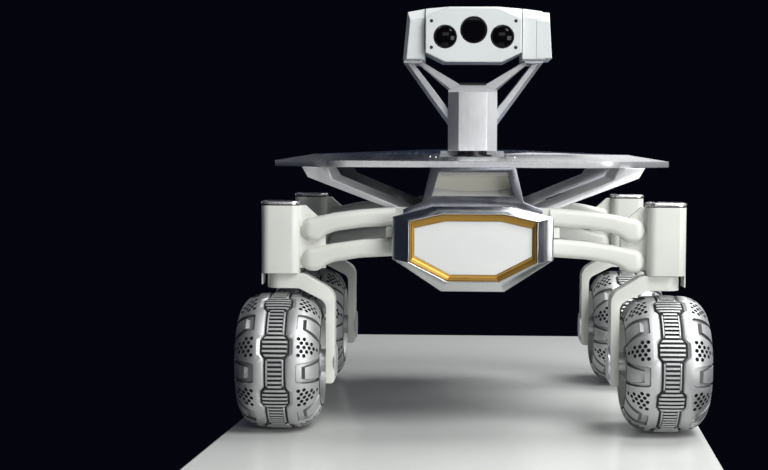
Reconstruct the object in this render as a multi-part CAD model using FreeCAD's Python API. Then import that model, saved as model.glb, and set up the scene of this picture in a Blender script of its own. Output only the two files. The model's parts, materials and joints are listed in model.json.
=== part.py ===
"""Four-wheeled planetary rover prototype, built from separate sub-parts.

Millimetres. -Y is forward, +X is the rover's own left-hand side, +Z is up.
The origin is on the ground, midway between the four wheels.
"""
import FreeCAD, Part
import math
import os
from collections import namedtuple

os.makedirs("parts", exist_ok=True)

# ---- driving dimensions -------------------------------------------------------------------
WHEELBASE = 470.0            # front axle to rear axle
TRACK = 533.0                # wheel centre to wheel centre
WHEEL_R = 95.0
WHEEL_WIDTH = 117.0
HUB_MOTOR_R = 16.0
SHAFT_FIT = 0.05             # radial play of a shaft in its bore
FACE_GAP = 0.5               # gap between faces that slide past each other
CURVED_GAP = 0.3             # gap between curved faces that do not turn

WHEEL_CROWN_HALF = 22.0      # half width of the flat crown
WHEEL_CROWN_DROP = 0.7       # crown edge below the full radius
WHEEL_SHOULDER_MID = 46.0    # half width where the shoulder arc is sampled
WHEEL_SHOULDER_DROP = 9.5    # drop of the shoulder there
WHEEL_SIDE_R = 62.0          # radius where shoulder meets the side
WHEEL_LIP = 3.0              # width of the side lip
WHEEL_DISH_DEPTH = 18.0
WHEEL_DISH_SLOPE = 4.0       # how much narrower the dish is at its floor
WHEEL_BOSS_R = 24.0
WHEEL_BOSS_SETBACK = 4.0     # boss face below the side lip
WHEEL_BORE_STOP = 20.0       # bore stops this far past the mid-plane

HOUSING_HALF = 26.5          # steering housing, half its square side
HOUSING_BOTTOM = 2 * WHEEL_R + 28.5
HOUSING_TOP = HOUSING_BOTTOM + 94.0
HOUSING_CORNER_R = 12.0
CAP_THICK = 6.5
CAP_OVERHANG = 0.5
SKIRT_THICK = 1.8
SKIRT_HALF = 16.0
SKIRT_BOTTOM = HOUSING_BOTTOM - 16.0
STEER_SHAFT_R = 12.0
STEER_SHAFT_LENGTH = 45.0

TONGUE_HALF = 7.0            # plate on the housing that carries the arms
TONGUE_REACH = HOUSING_HALF + 35.5   # inward from the wheel's mid-plane
TONGUE_BOTTOM = HOUSING_BOTTOM + 6.5
TONGUE_SHOULDER = HOUSING_BOTTOM + 77.5
TONGUE_SHOULDER_REACH = TONGUE_REACH - 10.0
TONGUE_TOP_REACH = HOUSING_HALF + 7.0
TONGUE_CORNER = 8.0          # fall of its innermost corner

FORK_HALF = HOUSING_HALF - 7.0       # half width of the fork, front to rear
FORK_PLATE_THICK = 20.5
LEG_THICK = 12.0
LEG_CLEAR = 5.0              # leg to wheel side
LEG_BELOW_AXLE = 30.0
FORK_BEND_OUT = 33.0         # where the upper face of the plate starts to slope
FORK_BEND_IN = 26.0          # where the lower face starts to slope
FORK_SLOPE_DROP = 26.0       # fall of the upper face along the slope
FORK_SLOPE_DROP_IN = 19.0
FORK_BEND_R = 20.0           # radii round the fork's outline, from the plate to the foot
FORK_SHOULDER_R = 22.0
FORK_FOOT_R = 5.0
FORK_ARMPIT_R = 14.0
FORK_UNDER_R = 10.0
HUB_COVER_R = 22.0
HUB_COVER_THICK = 2.5

ARM_HALF_DEPTH = 17.0        # half the arm's size front to rear
ARM_HALF_HEIGHT = 12.5
ARM_EYE_R = 16.0
ARM_PIN_R = 5.0
ARM_PIN_HEAD = 1.5
ARM_PIN_INWARD = HOUSING_HALF + 17.0 # arm pin, inward from the wheel's mid-plane
ARM_SLOT_EXTRA = 2.0
ARM_BLEND_R = 60.0
ArmRow = namedtuple("ArmRow", "name eye_z bend1_z bend2_z root_z")
ARM_ROWS = [
    ArmRow("upper", HOUSING_BOTTOM + 61.0, 289.0, 294.5, 297.5),
    ArmRow("lower", HOUSING_BOTTOM + 18.9, 246.5, 252.5, 255.5),
]
ARM_ROOT_X = 108.0           # arms and bracket start just outside the hull
ARM_BRACKET_X = 120.0        # nose of the bracket between the two arms
ARM_EYE_X = TRACK / 2 - ARM_PIN_INWARD
ARM_BEND1_X = ARM_BRACKET_X + 0.73 * (ARM_EYE_X - ARM_BRACKET_X)
ARM_BEND2_X = ARM_BRACKET_X + 0.355 * (ARM_EYE_X - ARM_BRACKET_X)
ARM_BRACKET_HALF = 13.0
ARM_BRACKET_NOSE_LOW = 269.0
ARM_BRACKET_NOSE_HIGH = 284.0
ARM_BRACKET_BOTTOM = 238.0
ARM_BRACKET_TOP = 310.5
ARM_BRACKET_DEPTH = 18.0
ARM_HEEL_X = ARM_EYE_X - 8.5         # where the underside of the eye turns up
ARM_HEEL_RISE_X = ARM_EYE_X - 22.5   # where it meets the arm's own underside
ARM_HEEL_R = 10.0
ARM_HEEL_RISE_R = 14.0

# Eight-sided outlines across the rover: half widths and heights.
Octagon = namedtuple("Octagon", "side side_top side_bottom top_half top bottom_half bottom")
HULL = Octagon(106.0, 297.0, 242.5, 53.0, 311.0, 42.0, 200.0)
BEZEL = Octagon(110.0, 299.0, 241.0, 53.0, 313.5, 43.0, 197.0)
BEZEL_LIP = Octagon(88.0, 294.0, 237.0, 42.0, 304.5, 35.5, 210.5)
TRIM = Octagon(86.0, 292.5, 238.0, 41.0, 302.3, 35.0, 212.4)
PLATE = Octagon(80.5, 284.0, 245.7, 37.5, 293.5, 31.5, 219.9)

BEZEL_BACK = WHEELBASE / 2 + 30.0    # distances from the middle of the rover
BEZEL_EDGE = BEZEL_BACK + 15.0
BEZEL_FRONT = BEZEL_BACK + 30.0
TRIM_FRONT = BEZEL_BACK + 26.0
PLATE_FRONT = BEZEL_BACK + 21.0

DECK_BOTTOM = 366.0
TOWER_TOP = DECK_BOTTOM
TOWER_TOP_HALF = 58.5
TOWER_WAIST = 319.0
TOWER_WAIST_HALF = 69.5
TOWER_FOOT = 308.5
TOWER_FOOT_HALF = 96.0
TOWER_FRAME_THICK = 8.0
RECESS_TOP = TOWER_TOP - 6.5
RECESS_TOP_HALF = 47.4
RECESS_BOTTOM = 327.0
RECESS_BOTTOM_HALF = 56.4
RECESS_DEPTH = 60.0

DECK_FRONT = 250.0           # half length of the solar deck
DECK_FRONT_HALF = 197.0      # half length of its straight front edge
DECK_TIP = 300.0             # half width at the side tips
DECK_TIP_HALF = 26.0         # half length of the short side edge
DECK_RIM = 9.0
DECK_BEVEL = 9.0             # rise of the sloping border
DECK_BORDER = 0.81           # inner edge of the border as a share of the outline
DECK_CELL_RISE = 8.0
DECK_CREST = 0.22            # outline of the flat crest as a share of the deck's
DECK_FLOOR = DECK_BOTTOM + 15.0      # floor of the pocket round the mast
DECK_POCKET_HALF = 46.0

STRUT_MID = 200.0            # struts' place, forward and rearward
STRUT_HALF = 12.0
STRUT_TAB_OUT = 241.0
STRUT_TAB_IN = 205.0
STRUT_ELBOW_OUT = 232.5
STRUT_ELBOW_OUT_Z = DECK_BOTTOM - 14.5
STRUT_ELBOW_IN = 197.5
STRUT_ELBOW_IN_Z = DECK_BOTTOM - 17.0
STRUT_FOOT_OUT_Z = 303.5
STRUT_FOOT_IN = 85.0
STRUT_FOOT_IN_Z = 302.5
STRUT_BEVEL = 11.0           # how much wider the strut is towards the rover's middle

MAST_Y = -150.0
MAST_HALF = 35.0             # half width across the octagonal column
MAST_FACE_HALF = 20.0
MAST_BOTTOM = DECK_FLOOR + 8.5
MAST_TOP = MAST_BOTTOM + 83.5
TURNTABLE_R = 28.0
TURNTABLE_THICK = 2.5
COLLAR_R = 17.5
POST_R = 1.5
POST_OFFSET = 19.5
PAN_SHAFT_R = 9.0
PAN_SHAFT_LENGTH = 10.0

HEAD_HALF = 67.5             # half width of the camera head
CHEEK_GAP = 5.0              # head to each cheek
YOKE_HALF = 12.0             # half the yoke's size front to rear
YOKE_SEAT_HALF = 40.0        # the same for the two seats under the cheeks
YOKE_TOP = MAST_TOP + 44.5
YOKE_SEAT_IN = HEAD_HALF + CHEEK_GAP
YOKE_SEAT_OUT = YOKE_SEAT_IN + 26.0
YOKE_SEAT_THICK = 4.0
YOKE_SADDLE_HALF = 17.0
YOKE_SADDLE_TOP = MAST_TOP + 11.0
YOKE_STRUT_LOW = MAST_TOP - 47.0     # where the outer struts meet the mast
YOKE_STRUT_HIGH = MAST_TOP - 22.5
YOKE_ARM_ROOT = MAST_TOP + 5.0       # underside of the upper arms at the mast
YOKE_SEAT_STRUT = 14.0       # width of the strut under the seat
YOKE_SEAT_ARM = 1.0          # width of the arm under the seat

TILT_Z = YOKE_TOP + 34.5
TILT_PIN_R = 8.0
TILT_PIN_GRIP = 12.0         # length of each pin inside its cheek
HEAD = Octagon(HEAD_HALF, TILT_Z + 23.0, TILT_Z - 25.0, 34.0, TILT_Z + 37.5, 39.5, TILT_Z - 38.3)
HEAD_BODY = Octagon(HEAD_HALF, TILT_Z + 37.5, TILT_Z - 23.0, 34.0, TILT_Z + 40.5, 43.5, TILT_Z - 35.5)
HEAD_FRONT = MAST_Y - 60.0
HEAD_PLATE_THICK = 4.0
HEAD_TAPER = 14.0            # depth over which the head grows from the plate's outline
HEAD_BACK = MAST_Y + 55.0
CHEEK_FRONT = MAST_Y - 50.0
CHEEK_BACK = MAST_Y + 50.0
CHEEK_TOP = TILT_Z + 38.5
CHEEK_OUTER_TOP = TILT_Z + 34.5
CHEEK_BEVEL = 13.0           # bevel along the top of the front and back faces
CHEEK_EDGE = 5.0             # bevel round the outer face
CHEEK_LEAN = 5.3             # outer face: further out at the bottom than at the top
RIGHT_CHEEK_OUT = HEAD_HALF + 32.4
LEFT_CHEEK_OUT = HEAD_HALF + 43.5    # the tilt motor makes this one wider
TILT_MOTOR_LIFT = 2.0        # motor housing's underside above the cheek's
LENS_SINK = 1.0
Lens = namedtuple("Lens", "x z r")
LENSES = [Lens(-40.0, TILT_Z - 3.0, 17.0), Lens(0.0, TILT_Z + 6.5, 19.5),
          Lens(40.0, TILT_Z - 3.0, 17.0)]

BELLY_HALF_X = 38.0
BELLY_HALF_Y = 120.0
BELLY_THICK = 4.0
BELLY_HOLE_R = 2.75
BELLY_HOLE_DEPTH = 14.0      # depth of each hole in the hull
BELLY_HOLE_X = 28.0
BELLY_HOLE_Y = 100.0

SIDES = [("left", 1.0), ("right", -1.0)]
ENDS = [("front", -1.0), ("rear", 1.0)]


# ---- shape helpers ------------------------------------------------------------------------
def vec(x, y, z):
    return FreeCAD.Vector(x, y, z)


def flat_face(points):
    """Face inside a closed run of straight edges."""
    return Part.Face(Part.makePolygon(points + [points[0]]))


def across(outline, y_from, y_to):
    """Prism along Y from a list of (x, z) corners."""
    corners = [vec(x, y_from, z) for x, z in outline]
    return flat_face(corners).extrude(vec(0, y_to - y_from, 0))


def rounded_face(corners):
    """Face in the XZ plane from (x, z, radius) corners, each rounded by a tangent arc."""
    points = [vec(x, 0, z) for x, z, _ in corners]
    count = len(points)
    edges = []
    ends = []
    for index, (_, _, radius) in enumerate(corners):
        here = points[index]
        to_last = (points[index - 1] - here).normalize()
        to_next = (points[(index + 1) % count] - here).normalize()
        if radius == 0:
            ends.append((here, None, here))
            continue
        half_turn = to_last.getAngle(to_next) / 2.0
        reach = radius / math.tan(half_turn)
        bisector = (to_last + to_next).normalize()
        centre = here + bisector * (radius / math.sin(half_turn))
        ends.append((here + to_last * reach, centre - bisector * radius, here + to_next * reach))
    for index, (start, middle, finish) in enumerate(ends):
        if middle is not None:
            edges.append(Part.Arc(start, middle, finish).toShape())
        following = ends[(index + 1) % count][0]
        edges.append(Part.LineSegment(finish, following).toShape())
    return Part.Face(Part.Wire(edges))


def rounded_prism(corners, half_depth):
    """Prism along Y, centred on y = 0, from (x, z, radius) corners."""
    face = rounded_face(corners)
    face.translate(vec(0, -half_depth, 0))
    return face.extrude(vec(0, 2 * half_depth, 0))


def box(x_from, x_to, y_from, y_to, z_from, z_to):
    return Part.makeBox(x_to - x_from, y_to - y_from, z_to - z_from, vec(x_from, y_from, z_from))


def rounded_post(half, corner_r, z_from, z_to):
    """Upright square post with rounded vertical edges."""
    post = box(-half, half, -half, half, z_from, z_to)
    uprights = [edge for edge in post.Edges if abs(edge.tangentAt(edge.FirstParameter).z) > 0.9]
    return post.makeFillet(corner_r, uprights)


def octagon_points(size, y):
    """Corners of an eight-sided outline at depth y."""
    half = [(size.top_half, size.top), (size.side, size.side_top),
            (size.side, size.side_bottom), (size.bottom_half, size.bottom)]
    right = [vec(x, y, z) for x, z in half]
    left = [vec(-x, y, z) for x, z in reversed(half)]
    return right + left


def octagon_prism(size, y_from, y_to):
    return flat_face(octagon_points(size, y_from)).extrude(vec(0, y_to - y_from, 0))


def octagon_loft(size_a, y_a, size_b, y_b):
    wires = []
    for size, y in ((size_a, y_a), (size_b, y_b)):
        points = octagon_points(size, y)
        wires.append(Part.makePolygon(points + [points[0]]))
    return Part.makeLoft(wires, True, True)


def rod(radius, start, finish):
    direction = finish - start
    return Part.makeCylinder(radius, direction.Length, start, direction)


def mirrored_x(shape):
    return shape.mirror(vec(0, 0, 0), vec(1, 0, 0))


def at_end(shape, end):
    """Front pieces stay; rear pieces are the front ones mirrored front to back."""
    if end < 0:
        return shape
    return shape.mirror(vec(0, 0, 0), vec(0, 1, 0))


def at_corner(shape, side, end):
    """Place a shape built about a wheel's mid-plane, with +X pointing outward."""
    placed = shape if side > 0 else mirrored_x(shape)
    placed = placed.copy()
    placed.translate(vec(side * TRACK / 2, end * WHEELBASE / 2, 0))
    return placed


def save(name, shapes):
    """Write one node; several solids that do not touch share it as a compound."""
    shape = shapes[0] if len(shapes) == 1 else Part.makeCompound(shapes)
    shape.exportStep("parts/" + name + ".step")
    print(name, len(shape.Solids), round(shape.Volume / 1000.0, 1), shape.isValid())


def one_solid(shape):
    """A boolean result as its single solid."""
    solids = shape.removeSplitter().Solids
    if len(solids) != 1:
        raise ValueError("expected one solid, found %d" % len(solids))
    return solids[0]


# ---- chassis ------------------------------------------------------------------------------
def hull():
    body = octagon_prism(HULL, -BEZEL_BACK, BEZEL_BACK)
    for x in (-BELLY_HOLE_X, BELLY_HOLE_X):
        for y in (-BELLY_HOLE_Y, BELLY_HOLE_Y):
            body = body.cut(rod(BELLY_HOLE_R, vec(x, y, HULL.bottom - 1),
                                vec(x, y, HULL.bottom + BELLY_HOLE_DEPTH)))
    return one_solid(body)


def belly_plate():
    plate = box(-BELLY_HALF_X, BELLY_HALF_X, -BELLY_HALF_Y, BELLY_HALF_Y,
                HULL.bottom - BELLY_THICK, HULL.bottom)
    for x in (-BELLY_HOLE_X, BELLY_HOLE_X):
        for y in (-BELLY_HOLE_Y, BELLY_HOLE_Y):
            plate = plate.cut(rod(BELLY_HOLE_R, vec(x, y, HULL.bottom - BELLY_THICK - 1),
                                  vec(x, y, HULL.bottom + 1)))
    return one_solid(plate)


def bezel():
    ring = octagon_prism(BEZEL, -BEZEL_BACK, -BEZEL_EDGE)
    ring = ring.fuse(octagon_loft(BEZEL, -BEZEL_EDGE, BEZEL_LIP, -BEZEL_FRONT))
    return one_solid(ring.cut(octagon_prism(TRIM, -BEZEL_BACK + 1, -BEZEL_FRONT - 1)))


def trim():
    ring = octagon_prism(TRIM, -BEZEL_BACK, -TRIM_FRONT)
    ring = ring.cut(octagon_loft(TRIM, -TRIM_FRONT, PLATE, -PLATE_FRONT))
    return one_solid(ring.cut(octagon_prism(PLATE, -BEZEL_BACK + 1, -TRIM_FRONT - 1)))


def face_panel():
    return one_solid(octagon_prism(PLATE, -BEZEL_BACK, -PLATE_FRONT))


def tower():
    spine = [(-TOWER_TOP_HALF, TOWER_TOP), (TOWER_TOP_HALF, TOWER_TOP),
             (TOWER_WAIST_HALF, TOWER_WAIST), (TOWER_WAIST_HALF, HULL.side_top),
             (-TOWER_WAIST_HALF, HULL.side_top), (-TOWER_WAIST_HALF, TOWER_WAIST)]
    frame = spine[:3] + [(TOWER_FOOT_HALF, TOWER_FOOT), (TOWER_FOOT_HALF, HULL.side_top),
                         (-TOWER_FOOT_HALF, HULL.side_top), (-TOWER_FOOT_HALF, TOWER_FOOT),
                         (-TOWER_WAIST_HALF, TOWER_WAIST)]
    opening = [(-RECESS_TOP_HALF, RECESS_TOP), (RECESS_TOP_HALF, RECESS_TOP),
               (RECESS_BOTTOM_HALF, RECESS_BOTTOM), (-RECESS_BOTTOM_HALF, RECESS_BOTTOM)]
    body = across(spine, -BEZEL_BACK, BEZEL_BACK)
    for end in (-1, 1):
        face_y = end * BEZEL_BACK
        body = body.fuse(across(frame, face_y, face_y - end * TOWER_FRAME_THICK))
        body = body.cut(across(opening, face_y, face_y - end * RECESS_DEPTH))
    return one_solid(body.cut(octagon_prism(HULL, -BEZEL_BACK - 1, BEZEL_BACK + 1)))


def arm_bracket(end):
    """Block on the hull's side that carries an upper and a lower arm."""
    mid = end * WHEELBASE / 2
    block = box(ARM_ROOT_X - ARM_BRACKET_DEPTH, ARM_ROOT_X, mid - ARM_BRACKET_HALF,
                mid + ARM_BRACKET_HALF, ARM_BRACKET_BOTTOM, ARM_BRACKET_TOP)
    nose = box(ARM_ROOT_X - 1, ARM_BRACKET_X, mid - ARM_BRACKET_HALF, mid + ARM_BRACKET_HALF,
               ARM_BRACKET_NOSE_LOW, ARM_BRACKET_NOSE_HIGH)
    block = block.fuse(nose)
    return one_solid(block.cut(octagon_prism(HULL, -BEZEL_BACK, BEZEL_BACK)))


def strut_wire(y, widen):
    """Outline of a strut across the rover, its inner edge moved inward and up by widen."""
    lift = widen / 2
    outline = [(STRUT_TAB_OUT, DECK_BOTTOM), (STRUT_ELBOW_OUT, STRUT_ELBOW_OUT_Z),
               (HULL.side, STRUT_FOOT_OUT_Z), (HULL.side, HULL.side_top),
               (STRUT_FOOT_IN - widen, HULL.side_top), (STRUT_FOOT_IN - widen, STRUT_FOOT_IN_Z + lift),
               (STRUT_ELBOW_IN - widen, STRUT_ELBOW_IN_Z + lift), (STRUT_TAB_IN - widen, DECK_BOTTOM)]
    points = [vec(x, y, z) for x, z in outline]
    return Part.makePolygon(points + [points[0]])


def strut():
    """Front strut on the +X side, from the hull's shoulder to the deck, with its inner edge bevelled."""
    front = strut_wire(-STRUT_MID - STRUT_HALF, 0)
    back = strut_wire(-STRUT_MID + STRUT_HALF, STRUT_BEVEL)
    bar = Part.makeLoft([front, back], True, True)
    return one_solid(bar.cut(octagon_prism(HULL, -BEZEL_BACK, BEZEL_BACK)))


# ---- solar deck ---------------------------------------------------------------------------
def deck_wire(share, z):
    corners = [(DECK_FRONT_HALF, -DECK_FRONT), (DECK_TIP, -DECK_TIP_HALF),
               (DECK_TIP, DECK_TIP_HALF), (DECK_FRONT_HALF, DECK_FRONT),
               (-DECK_FRONT_HALF, DECK_FRONT), (-DECK_TIP, DECK_TIP_HALF),
               (-DECK_TIP, -DECK_TIP_HALF), (-DECK_FRONT_HALF, -DECK_FRONT)]
    points = [vec(x * share, y * share, z) for x, y in corners]
    return Part.makePolygon(points + [points[0]])


def deck_pocket():
    """Clear space round the foot of the mast, open to the front."""
    above = DECK_BOTTOM + DECK_RIM + DECK_BEVEL + DECK_CELL_RISE + 1
    return box(-DECK_POCKET_HALF, DECK_POCKET_HALF, -DECK_FRONT - 1, MAST_Y + DECK_POCKET_HALF,
               DECK_FLOOR, above)


def deck_frame():
    rim_top = DECK_BOTTOM + DECK_RIM
    rim = Part.Face(deck_wire(1.0, DECK_BOTTOM)).extrude(vec(0, 0, DECK_RIM))
    border = Part.makeLoft([deck_wire(1.0, rim_top), deck_wire(DECK_BORDER, rim_top + DECK_BEVEL)],
                           True, True)
    frame = rim.fuse(border).cut(deck_pocket())
    bore = rod(PAN_SHAFT_R + SHAFT_FIT, vec(0, MAST_Y, DECK_FLOOR - PAN_SHAFT_LENGTH - 1),
               vec(0, MAST_Y, DECK_FLOOR + 1))
    return one_solid(frame.cut(bore))


def solar_cells():
    base = DECK_BOTTOM + DECK_RIM + DECK_BEVEL
    crown = Part.makeLoft([deck_wire(DECK_BORDER, base), deck_wire(DECK_CREST, base + DECK_CELL_RISE)],
                          True, True)
    return one_solid(crown.cut(deck_pocket()))


# ---- wheel corners ------------------------------------------------------------------------
def fork_leg_in():
    return WHEEL_WIDTH / 2 + LEG_CLEAR


def housing():
    body = rounded_post(HOUSING_HALF, HOUSING_CORNER_R, HOUSING_BOTTOM, HOUSING_TOP)
    tongue = [(0, TONGUE_BOTTOM), (-TONGUE_REACH, TONGUE_BOTTOM),
              (-TONGUE_REACH, TONGUE_SHOULDER - TONGUE_CORNER), (-TONGUE_SHOULDER_REACH, TONGUE_SHOULDER),
              (-TONGUE_TOP_REACH, HOUSING_TOP), (0, HOUSING_TOP)]
    body = body.fuse(across(tongue, -TONGUE_HALF, TONGUE_HALF))
    skirt = box(HOUSING_HALF - SKIRT_THICK, HOUSING_HALF, -SKIRT_HALF, SKIRT_HALF,
                SKIRT_BOTTOM, HOUSING_BOTTOM + 1)
    body = body.fuse(skirt.common(rounded_post(HOUSING_HALF, HOUSING_CORNER_R, SKIRT_BOTTOM, HOUSING_TOP)))
    bore_top = HOUSING_BOTTOM + STEER_SHAFT_LENGTH + FACE_GAP
    body = body.cut(rod(STEER_SHAFT_R + SHAFT_FIT, vec(0, 0, HOUSING_BOTTOM - 1), vec(0, 0, bore_top)))
    for row in ARM_ROWS:
        body = body.cut(rod(ARM_PIN_R + SHAFT_FIT, vec(-ARM_PIN_INWARD, -TONGUE_HALF - 1, row.eye_z),
                            vec(-ARM_PIN_INWARD, TONGUE_HALF + 1, row.eye_z)))
    return one_solid(body)


def cap():
    return rounded_post(HOUSING_HALF + CAP_OVERHANG, HOUSING_CORNER_R, HOUSING_TOP,
                        HOUSING_TOP + CAP_THICK)


def fork():
    top = HOUSING_BOTTOM - FACE_GAP
    bottom = top - FORK_PLATE_THICK
    leg_in = fork_leg_in()
    leg_out = leg_in + LEG_THICK
    foot = WHEEL_R - LEG_BELOW_AXLE
    corners = [(FORK_HALF, top, 0), (-FORK_BEND_OUT, top, FORK_BEND_R),
               (-leg_out, top - FORK_SLOPE_DROP, FORK_SHOULDER_R), (-leg_out, foot, FORK_FOOT_R),
               (-leg_in, foot, 0), (-leg_in, bottom - FORK_SLOPE_DROP_IN, FORK_ARMPIT_R),
               (-FORK_BEND_IN, bottom, FORK_UNDER_R), (FORK_HALF, bottom, 0)]
    body = rounded_prism(corners, FORK_HALF)
    nose = box(0, FORK_HALF + 1, -FORK_HALF - 1, FORK_HALF + 1, bottom - 1, top + 1)
    nose = nose.cut(rod(FORK_HALF, vec(0, 0, bottom - 2), vec(0, 0, top + 2)))
    body = body.cut(nose)
    body = body.fuse(rod(STEER_SHAFT_R, vec(0, 0, top - 1), vec(0, 0, top + STEER_SHAFT_LENGTH)))
    bore = rod(HUB_MOTOR_R + SHAFT_FIT, vec(-leg_out - 1, 0, WHEEL_R), vec(-leg_in + 1, 0, WHEEL_R))
    return one_solid(body.cut(bore))


def hub_motor():
    """Barrel through the leg and the wheel's boss, with a round cover on its inboard end."""
    outer_face = -(fork_leg_in() + LEG_THICK)
    barrel = rod(HUB_MOTOR_R, vec(outer_face, 0, WHEEL_R), vec(WHEEL_BORE_STOP - FACE_GAP, 0, WHEEL_R))
    cover = rod(HUB_COVER_R, vec(outer_face - HUB_COVER_THICK, 0, WHEEL_R), vec(outer_face, 0, WHEEL_R))
    return one_solid(barrel.fuse(cover))


def wheel():
    half = WHEEL_WIDTH / 2
    crown_r = WHEEL_R - WHEEL_CROWN_DROP
    shoulder_r = WHEEL_R - WHEEL_SHOULDER_DROP
    dish = half - WHEEL_DISH_DEPTH
    lip_r = WHEEL_SIDE_R - WHEEL_LIP
    floor_r = lip_r - WHEEL_DISH_SLOPE
    boss = half - WHEEL_BOSS_SETBACK

    def at(x, r):
        return vec(x, 0, r)

    runs = []
    for flip in (1.0, -1.0):
        arc = Part.Arc(at(flip * WHEEL_CROWN_HALF, crown_r), at(flip * WHEEL_SHOULDER_MID, shoulder_r),
                       at(flip * half, WHEEL_SIDE_R)).toShape()
        steps = [(half, WHEEL_SIDE_R), (half, lip_r), (dish, floor_r), (dish, WHEEL_BOSS_R),
                 (boss, WHEEL_BOSS_R), (boss, 0)]
        line = Part.makePolygon([at(flip * x, r) for x, r in steps])
        runs.append([arc] + line.Edges)
    crown = Part.Arc(at(-WHEEL_CROWN_HALF, crown_r), at(0, WHEEL_R), at(WHEEL_CROWN_HALF, crown_r))
    axis_line = Part.LineSegment(at(-boss, 0), at(boss, 0)).toShape()
    wire = Part.Wire(Part.__sortEdges__([crown.toShape(), axis_line] + runs[0] + runs[1]))
    body = Part.Face(wire).revolve(vec(0, 0, 0), vec(1, 0, 0), 360)
    body.translate(vec(0, 0, WHEEL_R))
    bore = rod(HUB_MOTOR_R + SHAFT_FIT, vec(-half, 0, WHEEL_R), vec(WHEEL_BORE_STOP, 0, WHEEL_R))
    return one_solid(body.cut(bore))


def arm(row):
    """Arm on the +X side at y = 0, from the bracket on the hull out to the housing."""
    up = ARM_HALF_HEIGHT
    corners = [(ARM_ROOT_X, row.root_z + up, 0), (ARM_BEND2_X, row.bend2_z + up, ARM_BLEND_R),
               (ARM_BEND1_X, row.bend1_z + up, ARM_BLEND_R), (ARM_EYE_X, row.eye_z + ARM_EYE_R, 0),
               (ARM_EYE_X, row.eye_z - ARM_EYE_R, 0), (ARM_HEEL_X, row.eye_z - ARM_EYE_R, ARM_HEEL_R),
               (ARM_HEEL_RISE_X, row.bend1_z - up - 1, ARM_HEEL_RISE_R),
               (ARM_BEND2_X, row.bend2_z - up, ARM_BLEND_R), (ARM_ROOT_X, row.root_z - up, 0)]
    body = rounded_prism(corners, ARM_HALF_DEPTH)
    eye = rod(ARM_EYE_R, vec(ARM_EYE_X, -ARM_HALF_DEPTH, row.eye_z),
              vec(ARM_EYE_X, ARM_HALF_DEPTH, row.eye_z))
    body = body.fuse(eye)
    slot_from = TRACK / 2 - TONGUE_REACH - ARM_SLOT_EXTRA
    slot_half = TONGUE_HALF + FACE_GAP
    slot_up = 2 * ARM_EYE_R + up
    body = body.cut(box(slot_from, TRACK / 2, -slot_half, slot_half,
                        row.eye_z - slot_up, row.eye_z + slot_up))
    pin_hole = rod(ARM_PIN_R + SHAFT_FIT, vec(ARM_EYE_X, -ARM_HALF_DEPTH - 1, row.eye_z),
                   vec(ARM_EYE_X, ARM_HALF_DEPTH + 1, row.eye_z))
    return one_solid(body.cut(pin_hole))


def arm_pins():
    reach = ARM_HALF_DEPTH + ARM_PIN_HEAD
    pins = []
    for _, side in SIDES:
        for _, end in ENDS:
            for row in ARM_ROWS:
                pin = rod(ARM_PIN_R, vec(-ARM_PIN_INWARD, -reach, row.eye_z),
                          vec(-ARM_PIN_INWARD, reach, row.eye_z))
                pins.append(at_corner(pin, side, end))
    return pins


# ---- mast and head ------------------------------------------------------------------------
def turntable():
    """Turning foot of the mast: thin disc, dark collar, two posts and the shaft below."""
    base = DECK_FLOOR + FACE_GAP
    disc_top = base + TURNTABLE_THICK
    body = rod(TURNTABLE_R, vec(0, MAST_Y, base), vec(0, MAST_Y, disc_top))
    body = body.fuse(rod(COLLAR_R, vec(0, MAST_Y, base), vec(0, MAST_Y, MAST_BOTTOM)))
    body = body.fuse(rod(PAN_SHAFT_R, vec(0, MAST_Y, base - PAN_SHAFT_LENGTH), vec(0, MAST_Y, disc_top)))
    for x in (-POST_OFFSET, POST_OFFSET):
        body = body.fuse(rod(POST_R, vec(x, MAST_Y, base + 1), vec(x, MAST_Y, MAST_BOTTOM)))
    return one_solid(body)


def mast():
    cut_corner = MAST_HALF - MAST_FACE_HALF
    side = MAST_HALF - cut_corner
    corners = [(MAST_FACE_HALF, -MAST_HALF), (MAST_HALF, -side), (MAST_HALF, side),
               (MAST_FACE_HALF, MAST_HALF), (-MAST_FACE_HALF, MAST_HALF), (-MAST_HALF, side),
               (-MAST_HALF, -side), (-MAST_FACE_HALF, -MAST_HALF)]
    points = [vec(x, MAST_Y + y, MAST_BOTTOM) for x, y in corners]
    return one_solid(flat_face(points).extrude(vec(0, 0, MAST_TOP - MAST_BOTTOM)))


def yoke():
    """Saddle on the mast, two upper arms and two outer struts in one frame."""
    half = [(YOKE_SADDLE_HALF, YOKE_SADDLE_TOP), (YOKE_SEAT_IN, YOKE_TOP), (YOKE_SEAT_OUT, YOKE_TOP),
            (YOKE_SEAT_OUT, YOKE_TOP - YOKE_SEAT_THICK), (MAST_HALF, YOKE_STRUT_LOW),
            (MAST_HALF, MAST_TOP)]
    rim = half + [(-x, z) for x, z in reversed(half)]
    body = across(rim, MAST_Y - YOKE_HALF, MAST_Y + YOKE_HALF)
    seat_underside = YOKE_TOP - YOKE_SEAT_THICK
    window = [(MAST_HALF, YOKE_STRUT_HIGH), (YOKE_SEAT_OUT - YOKE_SEAT_STRUT, seat_underside),
              (YOKE_SEAT_IN + YOKE_SEAT_ARM, seat_underside), (MAST_HALF, YOKE_ARM_ROOT)]
    for flip in (1, -1):
        hole = [(flip * x, z) for x, z in window]
        body = body.cut(across(hole, MAST_Y - YOKE_HALF - 1, MAST_Y + YOKE_HALF + 1))
        seat = [(flip * YOKE_SEAT_IN, YOKE_TOP), (flip * YOKE_SEAT_OUT, YOKE_TOP),
                (flip * YOKE_SEAT_OUT, seat_underside), (flip * YOKE_SEAT_IN, seat_underside)]
        body = body.fuse(across(seat, MAST_Y - YOKE_SEAT_HALF, MAST_Y + YOKE_SEAT_HALF))
    return one_solid(body)


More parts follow.
